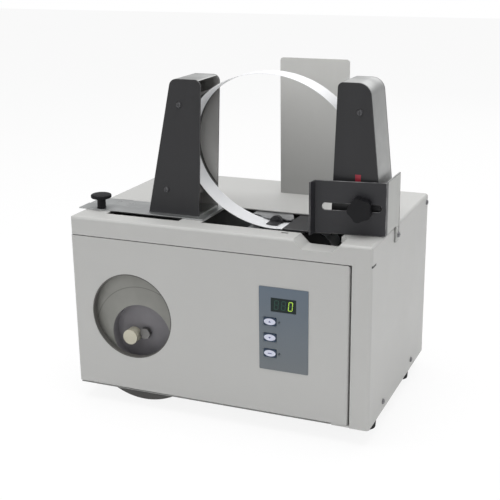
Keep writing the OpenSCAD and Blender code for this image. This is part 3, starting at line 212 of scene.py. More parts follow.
def dark_sheet(name, colour, reflection_z):
    """Dark satin sheet: long vertical streaks of lighter and darker tone, finger marks, and a painted
    reflection that lightens it just above the given height, fading out upward.
    """
    k = Look(name, colour, 0.4)
    streak = k.fit(k.noise(26, 5, (1, 1, 0.10)), 0.34, 0.68)
    base = k.mix(streak, tint(colour, 0.9), tint(colour, 1.1))
    smudge = k.fit(k.noise(12, 3, (1, 1, 0.5)), 0.55, 0.75, 0.0, 0.2)
    base = k.mix(smudge, base, tint(colour, 1.35))
    # Painted reflection: the sheet is drawn lighter just above the given height, fading out upward.
    foot_reflection = k.fit(k.part("Z"), reflection_z, reflection_z + REFLECTION_FADE, 0.4, 0.0)
    base = k.mix(foot_reflection, base, tint(colour, 2.4))
    k.to("Base Color", base)
    k.to("Roughness", k.fit(k.noise(10, 2, (1, 1, 0.4)), 0.3, 0.7, 0.36, 0.42))
    k.set("Specular IOR Level", 0.4)
    k.bump(k.noise(420, 3, (1, 1, 0.04)), 0.10, 0.00008)
    return k


def steel(name, colour, grain_axis="X", rough=0.36, grain=1.0):
    """Satin sheet steel, brushed along one axis, with faint handling marks."""
    k = Look(name, colour, rough, 0.85)
    stretch = [1.0, 1.0, 1.0]
    stretch["XYZ".index(grain_axis)] = 0.03
    lines = k.noise(900, 2, tuple(stretch))
    drift = k.mix(k.fit(k.noise(14, 4), 0.3, 0.7), tint(colour, 0.90), tint(colour, 1.06))
    brushed = k.mix(k.fit(lines, 0.35, 0.65, 0.0, 0.35), drift, tint(colour, 0.80))
    k.to("Base Color", brushed)
    k.to("Roughness", k.fit(k.noise(45, 4), 0.3, 0.7, rough - 0.07, rough + 0.10))
    k.bump(lines, 0.16 * grain, 0.00006)
    k.set("Anisotropic", 0.45)
    return k


def moulded(name, colour, rough=0.42, grain=1.0, coat=0.0):
    """Moulded plastic: fine spark-eroded grain and slight flow marks."""
    k = Look(name, colour, rough)
    flow = k.mix(k.fit(k.noise(22, 3), 0.3, 0.7), tint(colour, 0.88), tint(colour, 1.1))
    k.to("Base Color", flow)
    k.to("Roughness", k.fit(k.noise(60, 4), 0.3, 0.7, rough - 0.06, rough + 0.1))
    k.bump(k.cells(1900), 0.14 * grain, 0.00007)
    k.bump(k.noise(140, 2), 0.05 * grain, 0.0001)
    if coat:
        k.set("Coat Weight", coat)
        k.set("Coat Roughness", 0.12)
    return k


def rubber(name, colour=srgb(34, 34, 35)):
    """Matt rubber with a little dust."""
    k = Look(name, colour, 0.78)
    dusty = k.fit(k.noise(30, 5), 0.45, 0.8, 0.0, 0.35)
    k.to("Base Color", k.mix(dusty, colour, tint(colour, 2.4)))
    k.to("Roughness", k.fit(k.noise(120, 3), 0.3, 0.7, 0.7, 0.88))
    k.bump(k.noise(1300, 3), 0.3, 0.00012)
    return k


def paper(name, colour):
    """Coated paper tape: faint fibres, a soft sheen, slightly uneven."""
    k = Look(name, colour, 0.5)
    fibre = k.fit(k.noise(420, 5, (1, 0.25, 1)), 0.3, 0.7)
    cloudy = k.mix(fibre, tint(colour, 0.975), tint(colour, 1.01))
    k.to("Base Color", k.mix(k.fit(k.noise(9, 2), 0.35, 0.65), cloudy, tint(colour, 0.965)))
    k.to("Roughness", k.fit(k.noise(35, 3), 0.3, 0.7, 0.42, 0.58))
    k.bump(k.noise(900, 4, (1, 0.3, 1)), 0.1, 0.00005)
    k.set("Sheen Weight", 0.12)
    k.set("Sheen Roughness", 0.4)
    return k


# ---------------------------------------------------------------- the materials

case_paint = powder_coat("case_paint", srgb(182, 182, 180))
door_paint = powder_coat("door_paint", srgb(181, 181, 179))
base_paint = powder_coat("base_paint", srgb(150, 151, 149), 1.3)
rear_paint = powder_coat("rear_paint", srgb(178, 179, 177), 1.2)
stopper_paint = powder_coat("stopper_paint", srgb(190, 190, 187), 0.3, 0.5)

# Inside the gap between the door and the lip hardly any light comes back.
SEAM_FADE_FROM, SEAM_FADE_TO, SEAM_END = 0.9, 1.6, 15
SEAM_BOTTOM, SEAM_TOP = 194.7, 197.3
for k in (case_paint, door_paint):
    deep = k.math("MULTIPLY", k.fit(k.part("Y"), frame_y(SEAM_FADE_FROM), frame_y(SEAM_FADE_TO)),
                  k.math("LESS_THAN", k.part("Y"), frame_y(SEAM_END)))
    seam = k.between("Z", frame_z(SEAM_BOTTOM), frame_z(SEAM_TOP))
    k.to("Base Color", k.mix(k.math("MULTIPLY", deep, seam), k.base(), srgb(30, 30, 30)))

# The stopper's colour carries a painted reflection: light at its top, darker towards its base.
STOPPER_DARK_Z, STOPPER_LIGHT_Z = 235, 370
k = stopper_paint
rise = k.fit(k.part("Z"), frame_z(STOPPER_DARK_Z), frame_z(STOPPER_LIGHT_Z))
shade = k.mix(rise, srgb(160, 160, 158), srgb(205, 205, 202))
grain = k.fit(k.noise(120, 3, (1, 1, 0.2)), 0.3, 0.7, 0.0, 0.05)
k.to("Base Color", k.mix(grain, shade, srgb(168, 168, 165)))

# Heights of the left slide strip's top and of the towers' lower edge.
STRIP_TOP, TOWER_FOOT = 220.5, 220
# The towers' front plates get a painted reflection just above their lower edge.
tower_front = dark_sheet("tower_front", srgb(38, 38, 40), frame_z(TOWER_FOOT))

# The inner face of a tower's back plate is bare and light, with painted shade darkening it towards the top;
# its outside is dark like the front.
INNER_FACE_FRONT, INNER_FACE_BACK = 97.6, 98.25
INNER_LIGHT_Z, INNER_DARK_Z = 240, 360
k = tower_front
inner = k.between("Y", frame_y(INNER_FACE_FRONT), frame_y(INNER_FACE_BACK))
inner_painted_shade = k.fit(k.part("Z"), frame_z(INNER_LIGHT_Z), frame_z(INNER_DARK_Z))
bare_with_painted_shade = k.mix(inner_painted_shade, srgb(206, 205, 202), srgb(146, 145, 143))
k.to("Base Color", k.mix(inner, k.base(), bare_with_painted_shade))

tower_wrap = steel("tower_wrap", srgb(186, 187, 186), "Z", 0.42, 0.7)
arc_steel = steel("arc_steel", srgb(96, 95, 94), "Y", 0.45, 0.6)
strip_steel = steel("strip_steel", srgb(186, 188, 188), "X", 0.34)
plate_steel = steel("plate_steel", srgb(168, 169, 170), "X", 0.4)
inner_steel = steel("inner_steel", srgb(158, 160, 160), "Z", 0.45, 1.2)
turned_steel = steel("turned_steel", srgb(188, 190, 192), "Y", 0.25)
zinc = steel("zinc", srgb(122, 122, 124), "Z", 0.3)
# A height far below the floor: sheets given it get no painted reflection.
NO_PAINTED_REFLECTION = -1  # far below the floor, so that the sheet has no lighter foot
table_paint = dark_sheet("table_paint", srgb(50, 50, 52), NO_PAINTED_REFLECTION)

# The side guide is polished steel with its reflections painted into its colour: a dark painted reflection on
# its front plate, a bright painted reflection on the leg along the case's side.
GUIDE_FOOT = 212
LEG_X, LEG_X_FADE, LEG_DEPTH, LEG_DEPTH_FADE = 190.1, 0.5, 48, 4
side_sheet = dark_sheet("side_sheet", srgb(42, 42, 45), frame_z(GUIDE_FOOT))
k = side_sheet
leg_reflection_mask = k.math("MULTIPLY", k.fit(k.part("X"), frame_x(LEG_X), frame_x(LEG_X + LEG_X_FADE)),
             k.fit(k.part("Y"), frame_y(LEG_DEPTH), frame_y(LEG_DEPTH + LEG_DEPTH_FADE)))
reflection_band = k.fit(k.noise(30, 2, (1, 1, 0.05)), 0.4, 0.6)
leg_reflection = k.mix(reflection_band, srgb(162, 163, 160), srgb(170, 171, 168))
# Painted bright reflection on the leg.
k.to("Base Color", k.mix(leg_reflection_mask, k.base(), leg_reflection))

black = moulded("black_plastic", srgb(26, 26, 28), 0.38, 1.0)
knob_black = moulded("knob_black", srgb(13, 13, 16), 0.5, 0.8)
knob_black.set("Specular IOR Level", 0.25)
inlet_black = moulded("inlet_black", srgb(30, 30, 32), 0.5, 1.3)
# The window collar's grey is darkened to paint the shade on its inner wall.
collar_grey = moulded("collar_grey", srgb(88, 87, 84), 0.42, 0.7)
reel_grey = moulded("reel_grey", srgb(130, 130, 125), 0.4, 0.6)
hub_grey = moulded("hub_grey", srgb(118, 116, 120), 0.42, 0.8)
nut_steel = steel("nut_steel", srgb(120, 119, 118), "Y", 0.4)
screw_dark = steel("screw_dark", srgb(96, 96, 98), "Z", 0.4)
cream = moulded("cream_plastic", srgb(194, 190, 172), 0.38, 0.7, 0.1)
navy = moulded("navy_plastic", srgb(20, 45, 70), 0.45, 0.8)
oval_white = moulded("oval_white", srgb(206, 209, 226), 0.38, 0.5, 0.15)
mark_ink = moulded("mark_ink", srgb(70, 78, 128), 0.5, 0.4)
magnet_black = moulded("magnet_black", srgb(40, 40, 42), 0.6, 1.4)
red_mark = moulded("red_mark", srgb(150, 28, 48), 0.45, 0.5)
core_steel = steel("core_steel", srgb(84, 84, 88), "X", 0.5, 1.5)
motor_can = steel("motor_can", srgb(92, 94, 98), "Y", 0.38)
brass = steel("brass", srgb(184, 152, 88), "Y", 0.3)
feet_rubber = rubber("feet_rubber")
wheel_rubber = rubber("wheel_rubber", srgb(46, 46, 47))
tape_paper = paper("tape_paper", srgb(230, 231, 233))

REEL_X, REEL_Z = -103.2, 71.5


def reel_radius(k):
    """Distance of the shaded point from the reel's axis, in metres."""
    dx = k.math("SUBTRACT", k.part("X"), frame_x(REEL_X))
    dz = k.math("SUBTRACT", k.part("Z"), frame_z(REEL_Z))
    return k.math("SQRT", k.math("ADD", k.math("MULTIPLY", dx, dx), k.math("MULTIPLY", dz, dz)))


def rings(k, radius, pitch):
    """A wave along the radius, with its pitch in metres."""
    return k.math("SINE", k.math("MULTIPLY", radius, 2 * math.pi / pitch))


# The wound roll: the same paper, with its turns as fine rings on the two sides.
TURN_PITCH = 0.0008
roll_paper = paper("roll_paper", srgb(226, 226, 224))
k = roll_paper
turns = rings(k, reel_radius(k), TURN_PITCH)
k.bump(turns, 0.35, 0.0001)
k.to("Base Color", k.mix(k.fit(turns, -1, 1, 0.0, 0.3), srgb(228, 228, 226), srgb(168, 166, 160)))

# The reel's flanges: moulded rings and one groove with painted shade in it, and a painted shadow of the case
# below its floor, apart from the left end. The groove's half widths are of its bottom and of its upper edges,
# in metres.
RING_PITCH, GROOVE_RADIUS, GROOVE_INNER, GROOVE_OUTER = 0.0012, 0.063, 0.0003, 0.0008
BELOW_FLOOR_Z, ABOVE_FLOOR_Z = 1, 6
LIGHT_END_X, DARK_FROM_X = -162, -146
k = reel_grey
radius = reel_radius(k)
k.bump(rings(k, radius, RING_PITCH), 0.06, 0.00004)
under_case_shadow = k.fit(k.part("Z"), frame_z(BELOW_FLOOR_Z), frame_z(ABOVE_FLOOR_Z), 1.0, 0.0)
light_end = k.fit(k.part("X"), frame_x(LIGHT_END_X), frame_x(DARK_FROM_X))
from_groove = k.math("ABSOLUTE", k.math("SUBTRACT", radius, GROOVE_RADIUS))
# Painted shade in the groove.
groove = k.fit(from_groove, GROOVE_INNER, GROOVE_OUTER, 0.55, 0.0)
groove_shade = k.mix(groove, k.base(), srgb(84, 83, 80))
# Painted shadow of the case on the flanges below its floor.
k.to("Base Color", k.mix(k.math("MULTIPLY", under_case_shadow, light_end), groove_shade, srgb(72, 71, 69)))
k.bump(k.math("SUBTRACT", 1.0, groove), 0.4, 0.0002)

# The panel's overlay sheet: blue grey, bluer towards its top, with a fine grain.
PANEL_GREY_Z, PANEL_BLUE_Z = 60, 160
film = Look("panel_film", srgb(96, 103, 110), 0.4)
k = film
rise = k.fit(k.part("Z"), frame_z(PANEL_GREY_Z), frame_z(PANEL_BLUE_Z))
shade = k.mix(rise, srgb(100, 106, 110), srgb(86, 99, 112))
grain = k.fit(k.cells(1500), 0.0, 0.6, 0.0, 0.08)
k.to("Base Color", k.mix(grain, shade, srgb(84, 96, 108)))
k.to("Roughness", k.fit(k.noise(55, 3), 0.3, 0.7, 0.28, 0.4))
k.bump(k.cells(2200), 0.1, 0.00004)
k.set("Coat Weight", 0.08)
k.set("Coat Roughness", 0.25)

# The display's dark window.
window = Look("display_window", srgb(3, 22, 22), 0.3)
k = window
glow = k.fit(k.noise(120, 2), 0.3, 0.7)
k.to("Base Color", k.mix(glow, srgb(3, 20, 22), srgb(5, 28, 26)))
k.to("Roughness", k.fit(k.noise(80, 3), 0.3, 0.7, 0.28, 0.36))
k.bump(k.noise(600, 2), 0.03, 0.00003)
k.set("Specular IOR Level", 0.3)


def segment_look(name, colour, strength):
    """A faintly lit or glowing plastic."""
    k = Look(name, colour, 0.4)
    cloudy = k.mix(k.fit(k.noise(900, 2), 0.3, 0.7), tint(colour, 0.9), tint(colour, 1.05))
    k.to("Base Color", cloudy)
    k.to("Emission Color", cloudy)
    k.set("Emission Strength", strength)
    return k


segment_off = segment_look("segment_off", srgb(8, 62, 50), 0.1)
segment_on = segment_look("segment_on", srgb(160, 200, 60), 0.5)
lamp_lens = segment_look("lamp_lens", srgb(58, 66, 74), 0.02)

# The control board: green solder mask with copper tracks under it.
board = Look("board", srgb(18, 92, 52), 0.38)
k = board
tracks = k.fit(k.cells(420, "DISTANCE_TO_EDGE"), 0.0, 0.02, 1.0, 0.0)
k.to("Base Color", k.mix(k.math("MULTIPLY", tracks, 0.6), srgb(18, 92, 52), srgb(70, 140, 84)))
k.bump(tracks, 0.2, 0.00005)
k.to("Roughness", k.fit(k.noise(200, 2), 0.3, 0.7, 0.3, 0.45))
k.set("Coat Weight", 0.3)
k.set("Coat Roughness", 0.2)

LOOKS = {
    case_paint: ["outer_cover"],
    door_paint: ["door"],
    base_paint: ["base_plate"],
    rear_paint: ["rear_panel"],
    stopper_paint: ["rear_stopper"],
    tower_front: ["left_tower_plates", "right_tower_plates"],
    tower_wrap: ["left_tower_shell", "right_tower_shell"],
    arc_steel: ["tape_arc_guides"],
    strip_steel: ["left_slide_strip", "left_fixed_strip"],
    plate_steel: ["hold_down_plate", "head_frame", "side_guide_slider"],
    inner_steel: ["inner_mount_plate"],
    nut_steel: ["spindle_nut"],
    turned_steel: ["reel_spindle", "roller_pins", "left_guide_roller",
                   "right_guide_roller", "cam_shaft", "left_gripper", "seal_press",
                   "right_gripper", "cutter_blade", "hinge_pins", "drag_spring"],
    brass: ["heater_cartridge"],
    zinc: ["case_screws"],
    screw_dark: ["guide_screws"],
    table_paint: ["table_plate", "press_foot"],
    side_sheet: ["side_guide"],
    black: ["rocker_switch"],
    knob_black: ["side_guide_knob", "left_knob"],
    inlet_black: ["power_inlet"],
    collar_grey: ["window_collar"],
    reel_grey: ["reel_rear_flange", "reel_front_flange"],
    hub_grey: ["reel_hub"],
    cream: ["reel_lock_knob"],
    film: ["panel_sheet"],
    window: ["display_module"],
    navy: ["up_button", "down_button", "feed_button"],
    lamp_lens: ["indicator_lamps"],
    board: ["control_board"],
    magnet_black: ["door_magnet"],
    core_steel: ["transformer"],
    motor_can: ["feed_motor", "cam_motor"],
    feet_rubber: ["rubber_feet"],
    wheel_rubber: ["feed_wheel", "pinch_roller"],
    tape_paper: ["tape_loop", "tape_run"],
    roll_paper: ["tape_roll"],
}


def worn_lit_rim(name, colour, lighter, rough):
    """An edge drawn lighter than its face as a painted highlight, and lighter still where the coat is worn
    thin here and there.
    """
    k = Look(name, colour, rough)
    k.to("Base Color", k.mix(k.fit(k.noise(90, 4), 0.4, 0.65), colour, lighter))
    k.to("Roughness", k.fit(k.noise(200, 2), 0.3, 0.7, rough - 0.05, rough + 0.08))
    return k


# The rims carry a painted highlight along the rounded edges as well as wear.
light_rim = worn_lit_rim("light_rim", srgb(184, 184, 182), srgb(202, 202, 200), 0.45)
dark_rim = worn_lit_rim("dark_rim", srgb(64, 64, 66), srgb(126, 126, 126), 0.35)
black_rim = worn_lit_rim("black_rim", srgb(22, 22, 24), srgb(48, 48, 50), 0.45)
RIMS = {case_paint: light_rim, door_paint: light_rim, stopper_paint: light_rim,
        tower_front: dark_rim, side_sheet: dark_rim, table_paint: dark_rim, knob_black: black_rim}

# Width of the rounded edges in millimetres; what isn't named gets EDGE.
EDGE = 0.3
EDGES = {
    "outer_cover": 0.5, "door": 0.45, "rear_stopper": 0.5, "side_guide": 0.5, "side_guide_knob": 1.3,
    "left_knob": 0.8, "rubber_feet": 1.0, "up_button": 0.6, "down_button": 0.6, "feed_button": 0.6,
    "reel_lock_knob": 1.2, "left_tower_plates": 0.45, "right_tower_plates": 0.45, "tape_loop": 0.08,
    "tape_run": 0.08, "panel_sheet": 0.15, "transformer": 0.8, "power_inlet": 0.5, "rocker_switch": 0.5,
    "feed_motor": 1.0, "cam_motor": 1.0, "reel_front_flange": 0.5, "reel_rear_flange": 0.5,
}


# Edges sharper than the first angle are bevelled; those sharper than the second stay sharp.
BEVEL_ANGLE, SHARP_ANGLE = math.radians(30), math.radians(50)
WELD_DISTANCE = 0.000005


def smoothing():
    """A node group that smooths a mesh, apart from edges sharper than SHARP_ANGLE."""
    g = bpy.data.node_groups.new("smooth_by_angle", "GeometryNodeTree")
    g.interface.new_socket("Geometry", in_out="INPUT", socket_type="NodeSocketGeometry")
    g.interface.new_socket("Geometry", in_out="OUTPUT", socket_type="NodeSocketGeometry")
    start, end = g.nodes.new("NodeGroupInput"), g.nodes.new("NodeGroupOutput")
    faces = g.nodes.new("GeometryNodeSetShadeSmooth")
    faces.domain = "FACE"
    sharp = g.nodes.new("GeometryNodeSetShadeSmooth")
    sharp.domain = "EDGE"
    sharp.inputs["Shade Smooth"].default_value = False
    angle = g.nodes.new("GeometryNodeInputMeshEdgeAngle")
    over = g.nodes.new("FunctionNodeCompare")
    over.operation = "GREATER_THAN"
    over.inputs[1].default_value = SHARP_ANGLE
    g.links.new(start.outputs[0], faces.inputs["Geometry"])
    g.links.new(faces.outputs[0], sharp.inputs["Geometry"])
    g.links.new(angle.outputs["Unsigned Angle"], over.inputs[0])
    g.links.new(over.outputs[0], sharp.inputs["Selection"])
    g.links.new(sharp.outputs[0], end.inputs[0])
    return g


SMOOTH = smoothing()


def smooth(obj):
    obj.modifiers.new("smooth", "NODES").node_group = SMOOTH


def soften(obj, width, weld=True, rim=None):
    """Rounds the edges by width millimetres, with the look rim on them, and shades the rest smooth."""
    if weld:
        w = obj.modifiers.new("weld", "WELD")
        w.merge_threshold = WELD_DISTANCE
    b = obj.modifiers.new("bevel", "BEVEL")
    b.width = width / 1000
    b.segments = 2
    b.limit_method = "ANGLE"
    b.angle_limit = BEVEL_ANGLE
    b.miter_outer = "MITER_ARC"
    if rim:
        obj.data.materials.append(rim.material)
        b.material = 1
    smooth(obj)
    n = obj.modifiers.new("weighted", "WEIGHTED_NORMAL")
    n.keep_sharp = True


# The rear panel's flat sheet creases at its small holes when it is smoothed.
LEFT_SHARP = {"rear_panel"}
for look, names in LOOKS.items():
    for name in names:
        obj = NODES[name]
        obj.data.materials.clear()
        obj.data.materials.append(look.material)
        if name not in LEFT_SHARP:
            soften(obj, EDGES.get(name, EDGE), rim=RIMS.get(look))

missing = sorted(set(NODES) - {n for names in LOOKS.values() for n in names})
if missing:
    raise ValueError(f"no look for {missing}")


# ---------------------------------------------------------------- pieces

def piece(name, bm, look, body, place=None, edge=None):
    """Makes an object of bm that rides on a body, with its edges rounded by edge millimetres."""
    mesh = bpy.data.meshes.new(name)
    bmesh.ops.recalc_face_normals(bm, faces=bm.faces)
    bm.to_mesh(mesh)
    bm.free()
    obj = bpy.data.objects.new(name, mesh)
    bpy.context.collection.objects.link(obj)
    obj.data.materials.append(look.material)
    if place is not None:
        obj.matrix_world = place
    if edge:
        soften(obj, edge, False)
    else:
        smooth(obj)
    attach(obj, body)
    return obj


def lathe(profile, count):
    """Solid of revolution about Z from (radius, height) points in millimetres, bottom to top."""
    bm = bmesh.new()
    rings = []
    for r, h in profile:
        if r == 0:
            rings.append([bm.verts.new((0, 0, h / 1000))])
            continue
        rings.append([bm.verts.new((r / 1000 * math.cos(2 * math.pi * i / count),
                                    r / 1000 * math.sin(2 * math.pi * i / count), h / 1000))
                      for i in range(count)])
    for a, b in zip(rings, rings[1:]):
        for i in range(count):
            j = (i + 1) % count
            if len(a) == 1:
                bm.faces.new((a[0], b[i], b[j]))
            elif len(b) == 1:
                bm.faces.new((a[i], a[j], b[0]))
            else:
                bm.faces.new((a[i], a[j], b[j], b[i]))
    for ring, flip in ((rings[0], True), (rings[-1], False)):
        if len(ring) > 1:
            bm.faces.new(list(reversed(ring)) if flip else ring)
    return bm


def slab(outline, depth0, depth1):
    """A flat plate with its outline in millimetres (x, z) and its faces at two depths."""
    bm = bmesh.new()
    front = [bm.verts.new(at(x, depth0, z)) for x, z in outline]
    back = [bm.verts.new(at(x, depth1, z)) for x, z in outline]
    bm.faces.new(front)
    bm.faces.new(list(reversed(back)))
    n = len(outline)
    for i in range(n):
        j = (i + 1) % n
        bm.faces.new((front[i], back[i], back[j], front[j]))
    return bm


def fluted(profile, count, flutes, deep):
    """A lathed knob; the third value of a row is the share of the flutes' depth that it gets."""
    bm = lathe([(r, h) for r, h, f in profile], count)
    rows = {round(h / 1000, 7): f for r, h, f in profile}
    for v in bm.verts:
        f = rows.get(round(v.co.z, 7), 0)
        if f:
            a = math.atan2(v.co.y, v.co.x)
            v.co.xy *= 1 - deep * f * (0.5 - 0.5 * math.cos(flutes * a)) ** 3
    return bm


# The left knob: a crowned, finely fluted head on a plain stem.
FLUTES, FLUTE_DEPTH, KNOB_COUNT = 40, 0.035, 240
lo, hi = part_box("left_knob")
knob_mid = (lo + hi) / 2
head_r = (hi.x - lo.x) / 2 * 1000
head_top = (hi.z - frame_z(STRIP_TOP)) * 1000
left_knob = piece(
    "left_knob_turned",
    fluted([(4.4, 0, 0), (5.6, 0.05, 0), (5.8, 0.6, 0), (5.4, 1.1, 0), (5.2, head_top - 7.0, 0),
            (6.2, head_top - 6.4, 0), (head_r - 2.6, head_top - 5.9, 0), (head_r - 0.7, head_top - 5.2, 0.4),
            (head_r, head_top - 4.3, 1), (head_r, head_top - 2.2, 1), (head_r - 0.5, head_top - 1.2, 0.5),
            (head_r - 1.8, head_top - 0.62, 0), (head_r - 4, head_top - 0.36, 0), (5, head_top - 0.12, 0),
            (0, head_top, 0)], KNOB_COUNT, FLUTES, FLUTE_DEPTH),
    knob_black, "left_knob",
    Matrix.Translation((knob_mid.x, knob_mid.y, frame_z(STRIP_TOP))))

# The buttons' pale ovals, each with a plain sign: its points from the oval's middle, and its depths.
OVAL = [(6.9, 0), (7.1, 0.08), (7.05, 0.22), (6.6, 0.38), (4.7, 0.5), (2.2, 0.55), (0, 0.56)]
OVAL_COUNT, OVAL_SQUASH = 72, 0.54
SIGN_WIDEN, SIGN_FRONT, SIGN_BACK = 1.1, -0.6, -0.3
SIGNS = {
    "up_button": [(-1.5, -0.8), (1.5, -0.8), (0, 1.3)],
    "down_button": [(-1.5, 0.9), (0, -1.2), (1.5, 0.9)],
    "feed_button": [(-2.2, -0.45), (2.2, -0.45), (2.2, 0.45), (-2.2, 0.45)],
}
for name, sign in SIGNS.items():
    lo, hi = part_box(name)
    mid = (lo + hi) / 2
    bm = lathe(OVAL, OVAL_COUNT)
    for v in bm.verts:
        v.co.y *= OVAL_SQUASH
    turn = Matrix.Translation((mid.x, lo.y, mid.z)) @ Matrix.Rotation(math.radians(90), 4, "X")
    piece(name + "_oval", bm, oval_white, name, turn)
    x, d, z = from_front(Vector((mid.x, lo.y, mid.z)))
    outline = [(x + a * SIGN_WIDEN, z + b) for a, b in sign]
    piece(name + "_sign", slab(outline, d + SIGN_FRONT, d + SIGN_BACK),
          mark_ink, name)

# The display's digits: seven segments each, leaning a little; only the right one is lit.
lo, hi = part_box("display_module")
display_mid = from_front((lo + hi) / 2)
digit_depth = from_front(lo).y
DIGIT_W, DIGIT_H, BAR, PITCH, LEAN = 4.6, 10.3, 0.8, 8.6, 0.09
BAR_GAP, BAR_PROUD, BAR_SUNK = 0.12, 0.12, 0.1


def bar(x0, z0, x1, z1):
    """A segment between two points, with pointed ends."""
    dx, dz = x1 - x0, z1 - z0
    n = math.hypot(dx, dz)
    ux, uz = dx / n, dz / n
    h = BAR / 2

    def point(along, side):
        return x0 + ux * along - uz * side, z0 + uz * along + ux * side

    first, last = BAR_GAP + h, n - BAR_GAP - h
    return [point(BAR_GAP, 0), point(first, h), point(last, h),
            point(n - BAR_GAP, 0), point(last, -h), point(first, -h)]


def digit(name, cx, cz, lit):
    """The seven segments round (cx, cz), of which the letters in lit glow."""
    w, h = DIGIT_W / 2, DIGIT_H / 2
    segments = {"a": (-w, h, w, h), "b": (w, h, w, 0), "c": (w, 0, w, -h), "d": (-w, -h, w, -h),
                "e": (-w, 0, -w, -h), "f": (-w, h, -w, 0), "g": (-w, 0, w, 0)}
    for letter, (x0, z0, x1, z1) in segments.items():
        outline = [(cx + x + z * LEAN, cz + z) for x, z in bar(x0, z0, x1, z1)]
        piece(f"{name}_{letter}", slab(outline, digit_depth - BAR_PROUD, digit_depth + BAR_SUNK),
              segment_on if letter in lit else segment_off, "door")


LIT = ("", "", "abcdef")
for i, lit in enumerate(LIT):
    digit(f"digit_{i + 1}", display_mid.x + (i - 1) * PITCH, display_mid.z, lit)

# A plain red centre mark on the right tower's front plate.
MARK_LEFT, MARK_RIGHT, MARK_BOTTOM, MARK_TOP = 155, 161.5, 279, 287
MARK_FRONT, MARK_BACK, MARK_EDGE = 44.85, 45.05, 0.08
outline = [(MARK_LEFT, MARK_BOTTOM), (MARK_RIGHT, MARK_BOTTOM), (MARK_RIGHT, MARK_TOP), (MARK_LEFT, MARK_TOP)]
piece("centre_mark", slab(outline, MARK_FRONT, MARK_BACK), red_mark, "case", edge=MARK_EDGE)


# ---------------------------------------------------------------- stage, light and camera

# Half the floor's width in metres, and the share of plain white that the camera sees on it.
FLOOR_HALF, FLOOR_WHITE = 6.0, 0.88


def floor():
    """A pale floor that keeps the shadow."""
    bm = bmesh.new()
    bm.faces.new([bm.verts.new((x * FLOOR_HALF, y * FLOOR_HALF, 0))
                  for x, y in ((-1, -1), (1, -1), (1, 1), (-1, 1))])
    mesh = bpy.data.meshes.new("floor")
    bm.to_mesh(mesh)
    bm.free()
    obj = bpy.data.objects.new("floor", mesh)
    bpy.context.collection.objects.link(obj)
    m = bpy.data.materials.new("floor")
    m.use_nodes = True
    t = m.node_tree
    t.nodes.clear()
    out = t.nodes.new("ShaderNodeOutputMaterial")
    diffuse = t.nodes.new("ShaderNodeBsdfDiffuse")
    diffuse.inputs["Color"].default_value = (0.93, 0.93, 0.93, 1)
    glow = t.nodes.new("ShaderNodeEmission")
    glow.inputs["Color"].default_value = (1, 1, 1, 1)
    glow.inputs["Strength"].default_value = 1.0
    path = t.nodes.new("ShaderNodeLightPath")
    mixer = t.nodes.new("ShaderNodeMixShader")
    share = t.nodes.new("ShaderNodeMath")
    share.operation = "MULTIPLY"
    share.inputs[1].default_value = FLOOR_WHITE
    t.links.new(path.outputs["Is Camera Ray"], share.inputs[0])
    t.links.new(share.outputs[0], mixer.inputs[0])
    t.links.new(diffuse.outputs[0], mixer.inputs[1])
    t.links.new(glow.outputs[0], mixer.inputs[2])
    t.links.new(mixer.outputs[0], out.inputs[0])
    obj.data.materials.append(m)


floor()

# The world's light: its strength, and its colours at the horizon and below, and near the top.
WORLD_STRENGTH = 0.64
WORLD_LOW, WORLD_HIGH = (0.62, 0.62, 0.63, 1), (1.0, 1.0, 1.0, 1)


def studio():
    """A soft world, darker below, that the camera sees as plain white."""
    world = bpy.data.worlds.new("studio")
    bpy.context.scene.world = world
    world.use_nodes = True
    t = world.node_tree
    t.nodes.clear()
    out = t.nodes.new("ShaderNodeOutputWorld")
    soft = t.nodes.new("ShaderNodeBackground")
    soft.inputs["Strength"].default_value = WORLD_STRENGTH
    plain = t.nodes.new("ShaderNodeBackground")
    plain.inputs["Color"].default_value = (1, 1, 1, 1)
    plain.inputs["Strength"].default_value = 1.0
    coords = t.nodes.new("ShaderNodeTexCoord")
    split = t.nodes.new("ShaderNodeSeparateXYZ")
    ramp = t.nodes.new("ShaderNodeValToRGB")
    for element, position, colour in zip(ramp.color_ramp.elements, (0.0, 0.75), (WORLD_LOW, WORLD_HIGH)):
        element.position = position
        element.color = colour
    path = t.nodes.new("ShaderNodeLightPath")
    mixer = t.nodes.new("ShaderNodeMixShader")
    t.links.new(coords.outputs["Generated"], split.inputs[0])
    t.links.new(split.outputs[2], ramp.inputs[0])
    t.links.new(ramp.outputs[0], soft.inputs["Color"])
    t.links.new(path.outputs["Is Camera Ray"], mixer.inputs[0])
    t.links.new(soft.outputs[0], mixer.inputs[1])
    t.links.new(plain.outputs[0], mixer.inputs[2])
    t.links.new(mixer.outputs[0], out.inputs[0])


studio()


# What the lamps look at, in metres.
AIM = Vector((0, 0, 0.2))


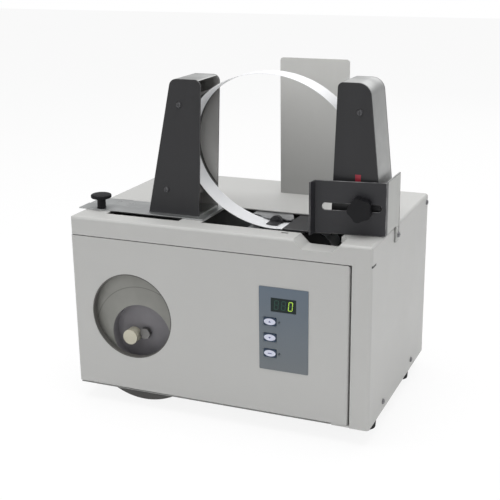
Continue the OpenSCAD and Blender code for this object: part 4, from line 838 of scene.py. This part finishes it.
def lamp(name, place, size, power):
    """A rectangular softbox at place, aimed at the machine."""
    light = bpy.data.lights.new(name, "AREA")
    light.shape = "RECTANGLE"
    light.size, light.size_y = size
    light.energy = power
    obj = bpy.data.objects.new(name, light)
    bpy.context.collection.objects.link(obj)
    obj.location = place
    obj.rotation_mode = "QUATERNION"
    obj.rotation_quaternion = (AIM - obj.location).to_track_quat("-Z", "Y")


lamp("top_softbox", (0.0, -0.15, 1.9), (1.6, 1.4), 25)
lamp("front_fill", (-0.9, -2.0, 0.9), (1.4, 1.2), 4.5)
lamp("right_fill", (2.0, -0.5, 0.9), (1.0, 1.4), 3.5)
lamp("back_fill", (0.2, 2.0, 1.2), (1.4, 1.0), 5)

# The camera: the photograph's view, solved from the case's straight edges. The distance and the
# point that the angles turn round are in millimetres; the focal length and the centre are in pixels.
AZIMUTH, ELEVATION, ROLL = (math.radians(v) for v in (22.536, 17.3225, -0.601))
DISTANCE, PIVOT = 1152.71, at(53.04, 0, 198.98)
FOCAL, CENTRE_X, CENTRE_Y = 1020.807, 255.33, 252.30
IMAGE, SENSOR = 500, 36
back = Vector((math.sin(AZIMUTH) * math.cos(ELEVATION), -math.cos(AZIMUTH) * math.cos(ELEVATION),
               math.sin(ELEVATION)))
right = Vector((0, 0, 1)).cross(back).normalized()
up = back.cross(right)
right, up = (math.cos(ROLL) * right + math.sin(ROLL) * up,
             math.cos(ROLL) * up - math.sin(ROLL) * right)
data = bpy.data.cameras.new("camera")
data.sensor_width = SENSOR
data.lens = SENSOR * FOCAL / IMAGE
data.shift_x = (IMAGE / 2 - CENTRE_X) / IMAGE
data.shift_y = (CENTRE_Y - IMAGE / 2) / IMAGE
data.clip_start, data.clip_end = 0.05, 50
camera = bpy.data.objects.new("camera", data)
bpy.context.collection.objects.link(camera)
spot = PIVOT + back * DISTANCE / 1000
camera.matrix_world = Matrix((
    (right.x, up.x, back.x, spot.x), (right.y, up.y, back.y, spot.y),
    (right.z, up.z, back.z, spot.z), (0, 0, 0, 1)))
bpy.context.scene.camera = camera
bpy.context.scene.view_settings.view_transform = "Standard"

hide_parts("left_knob")

bpy.context.view_layer.update()
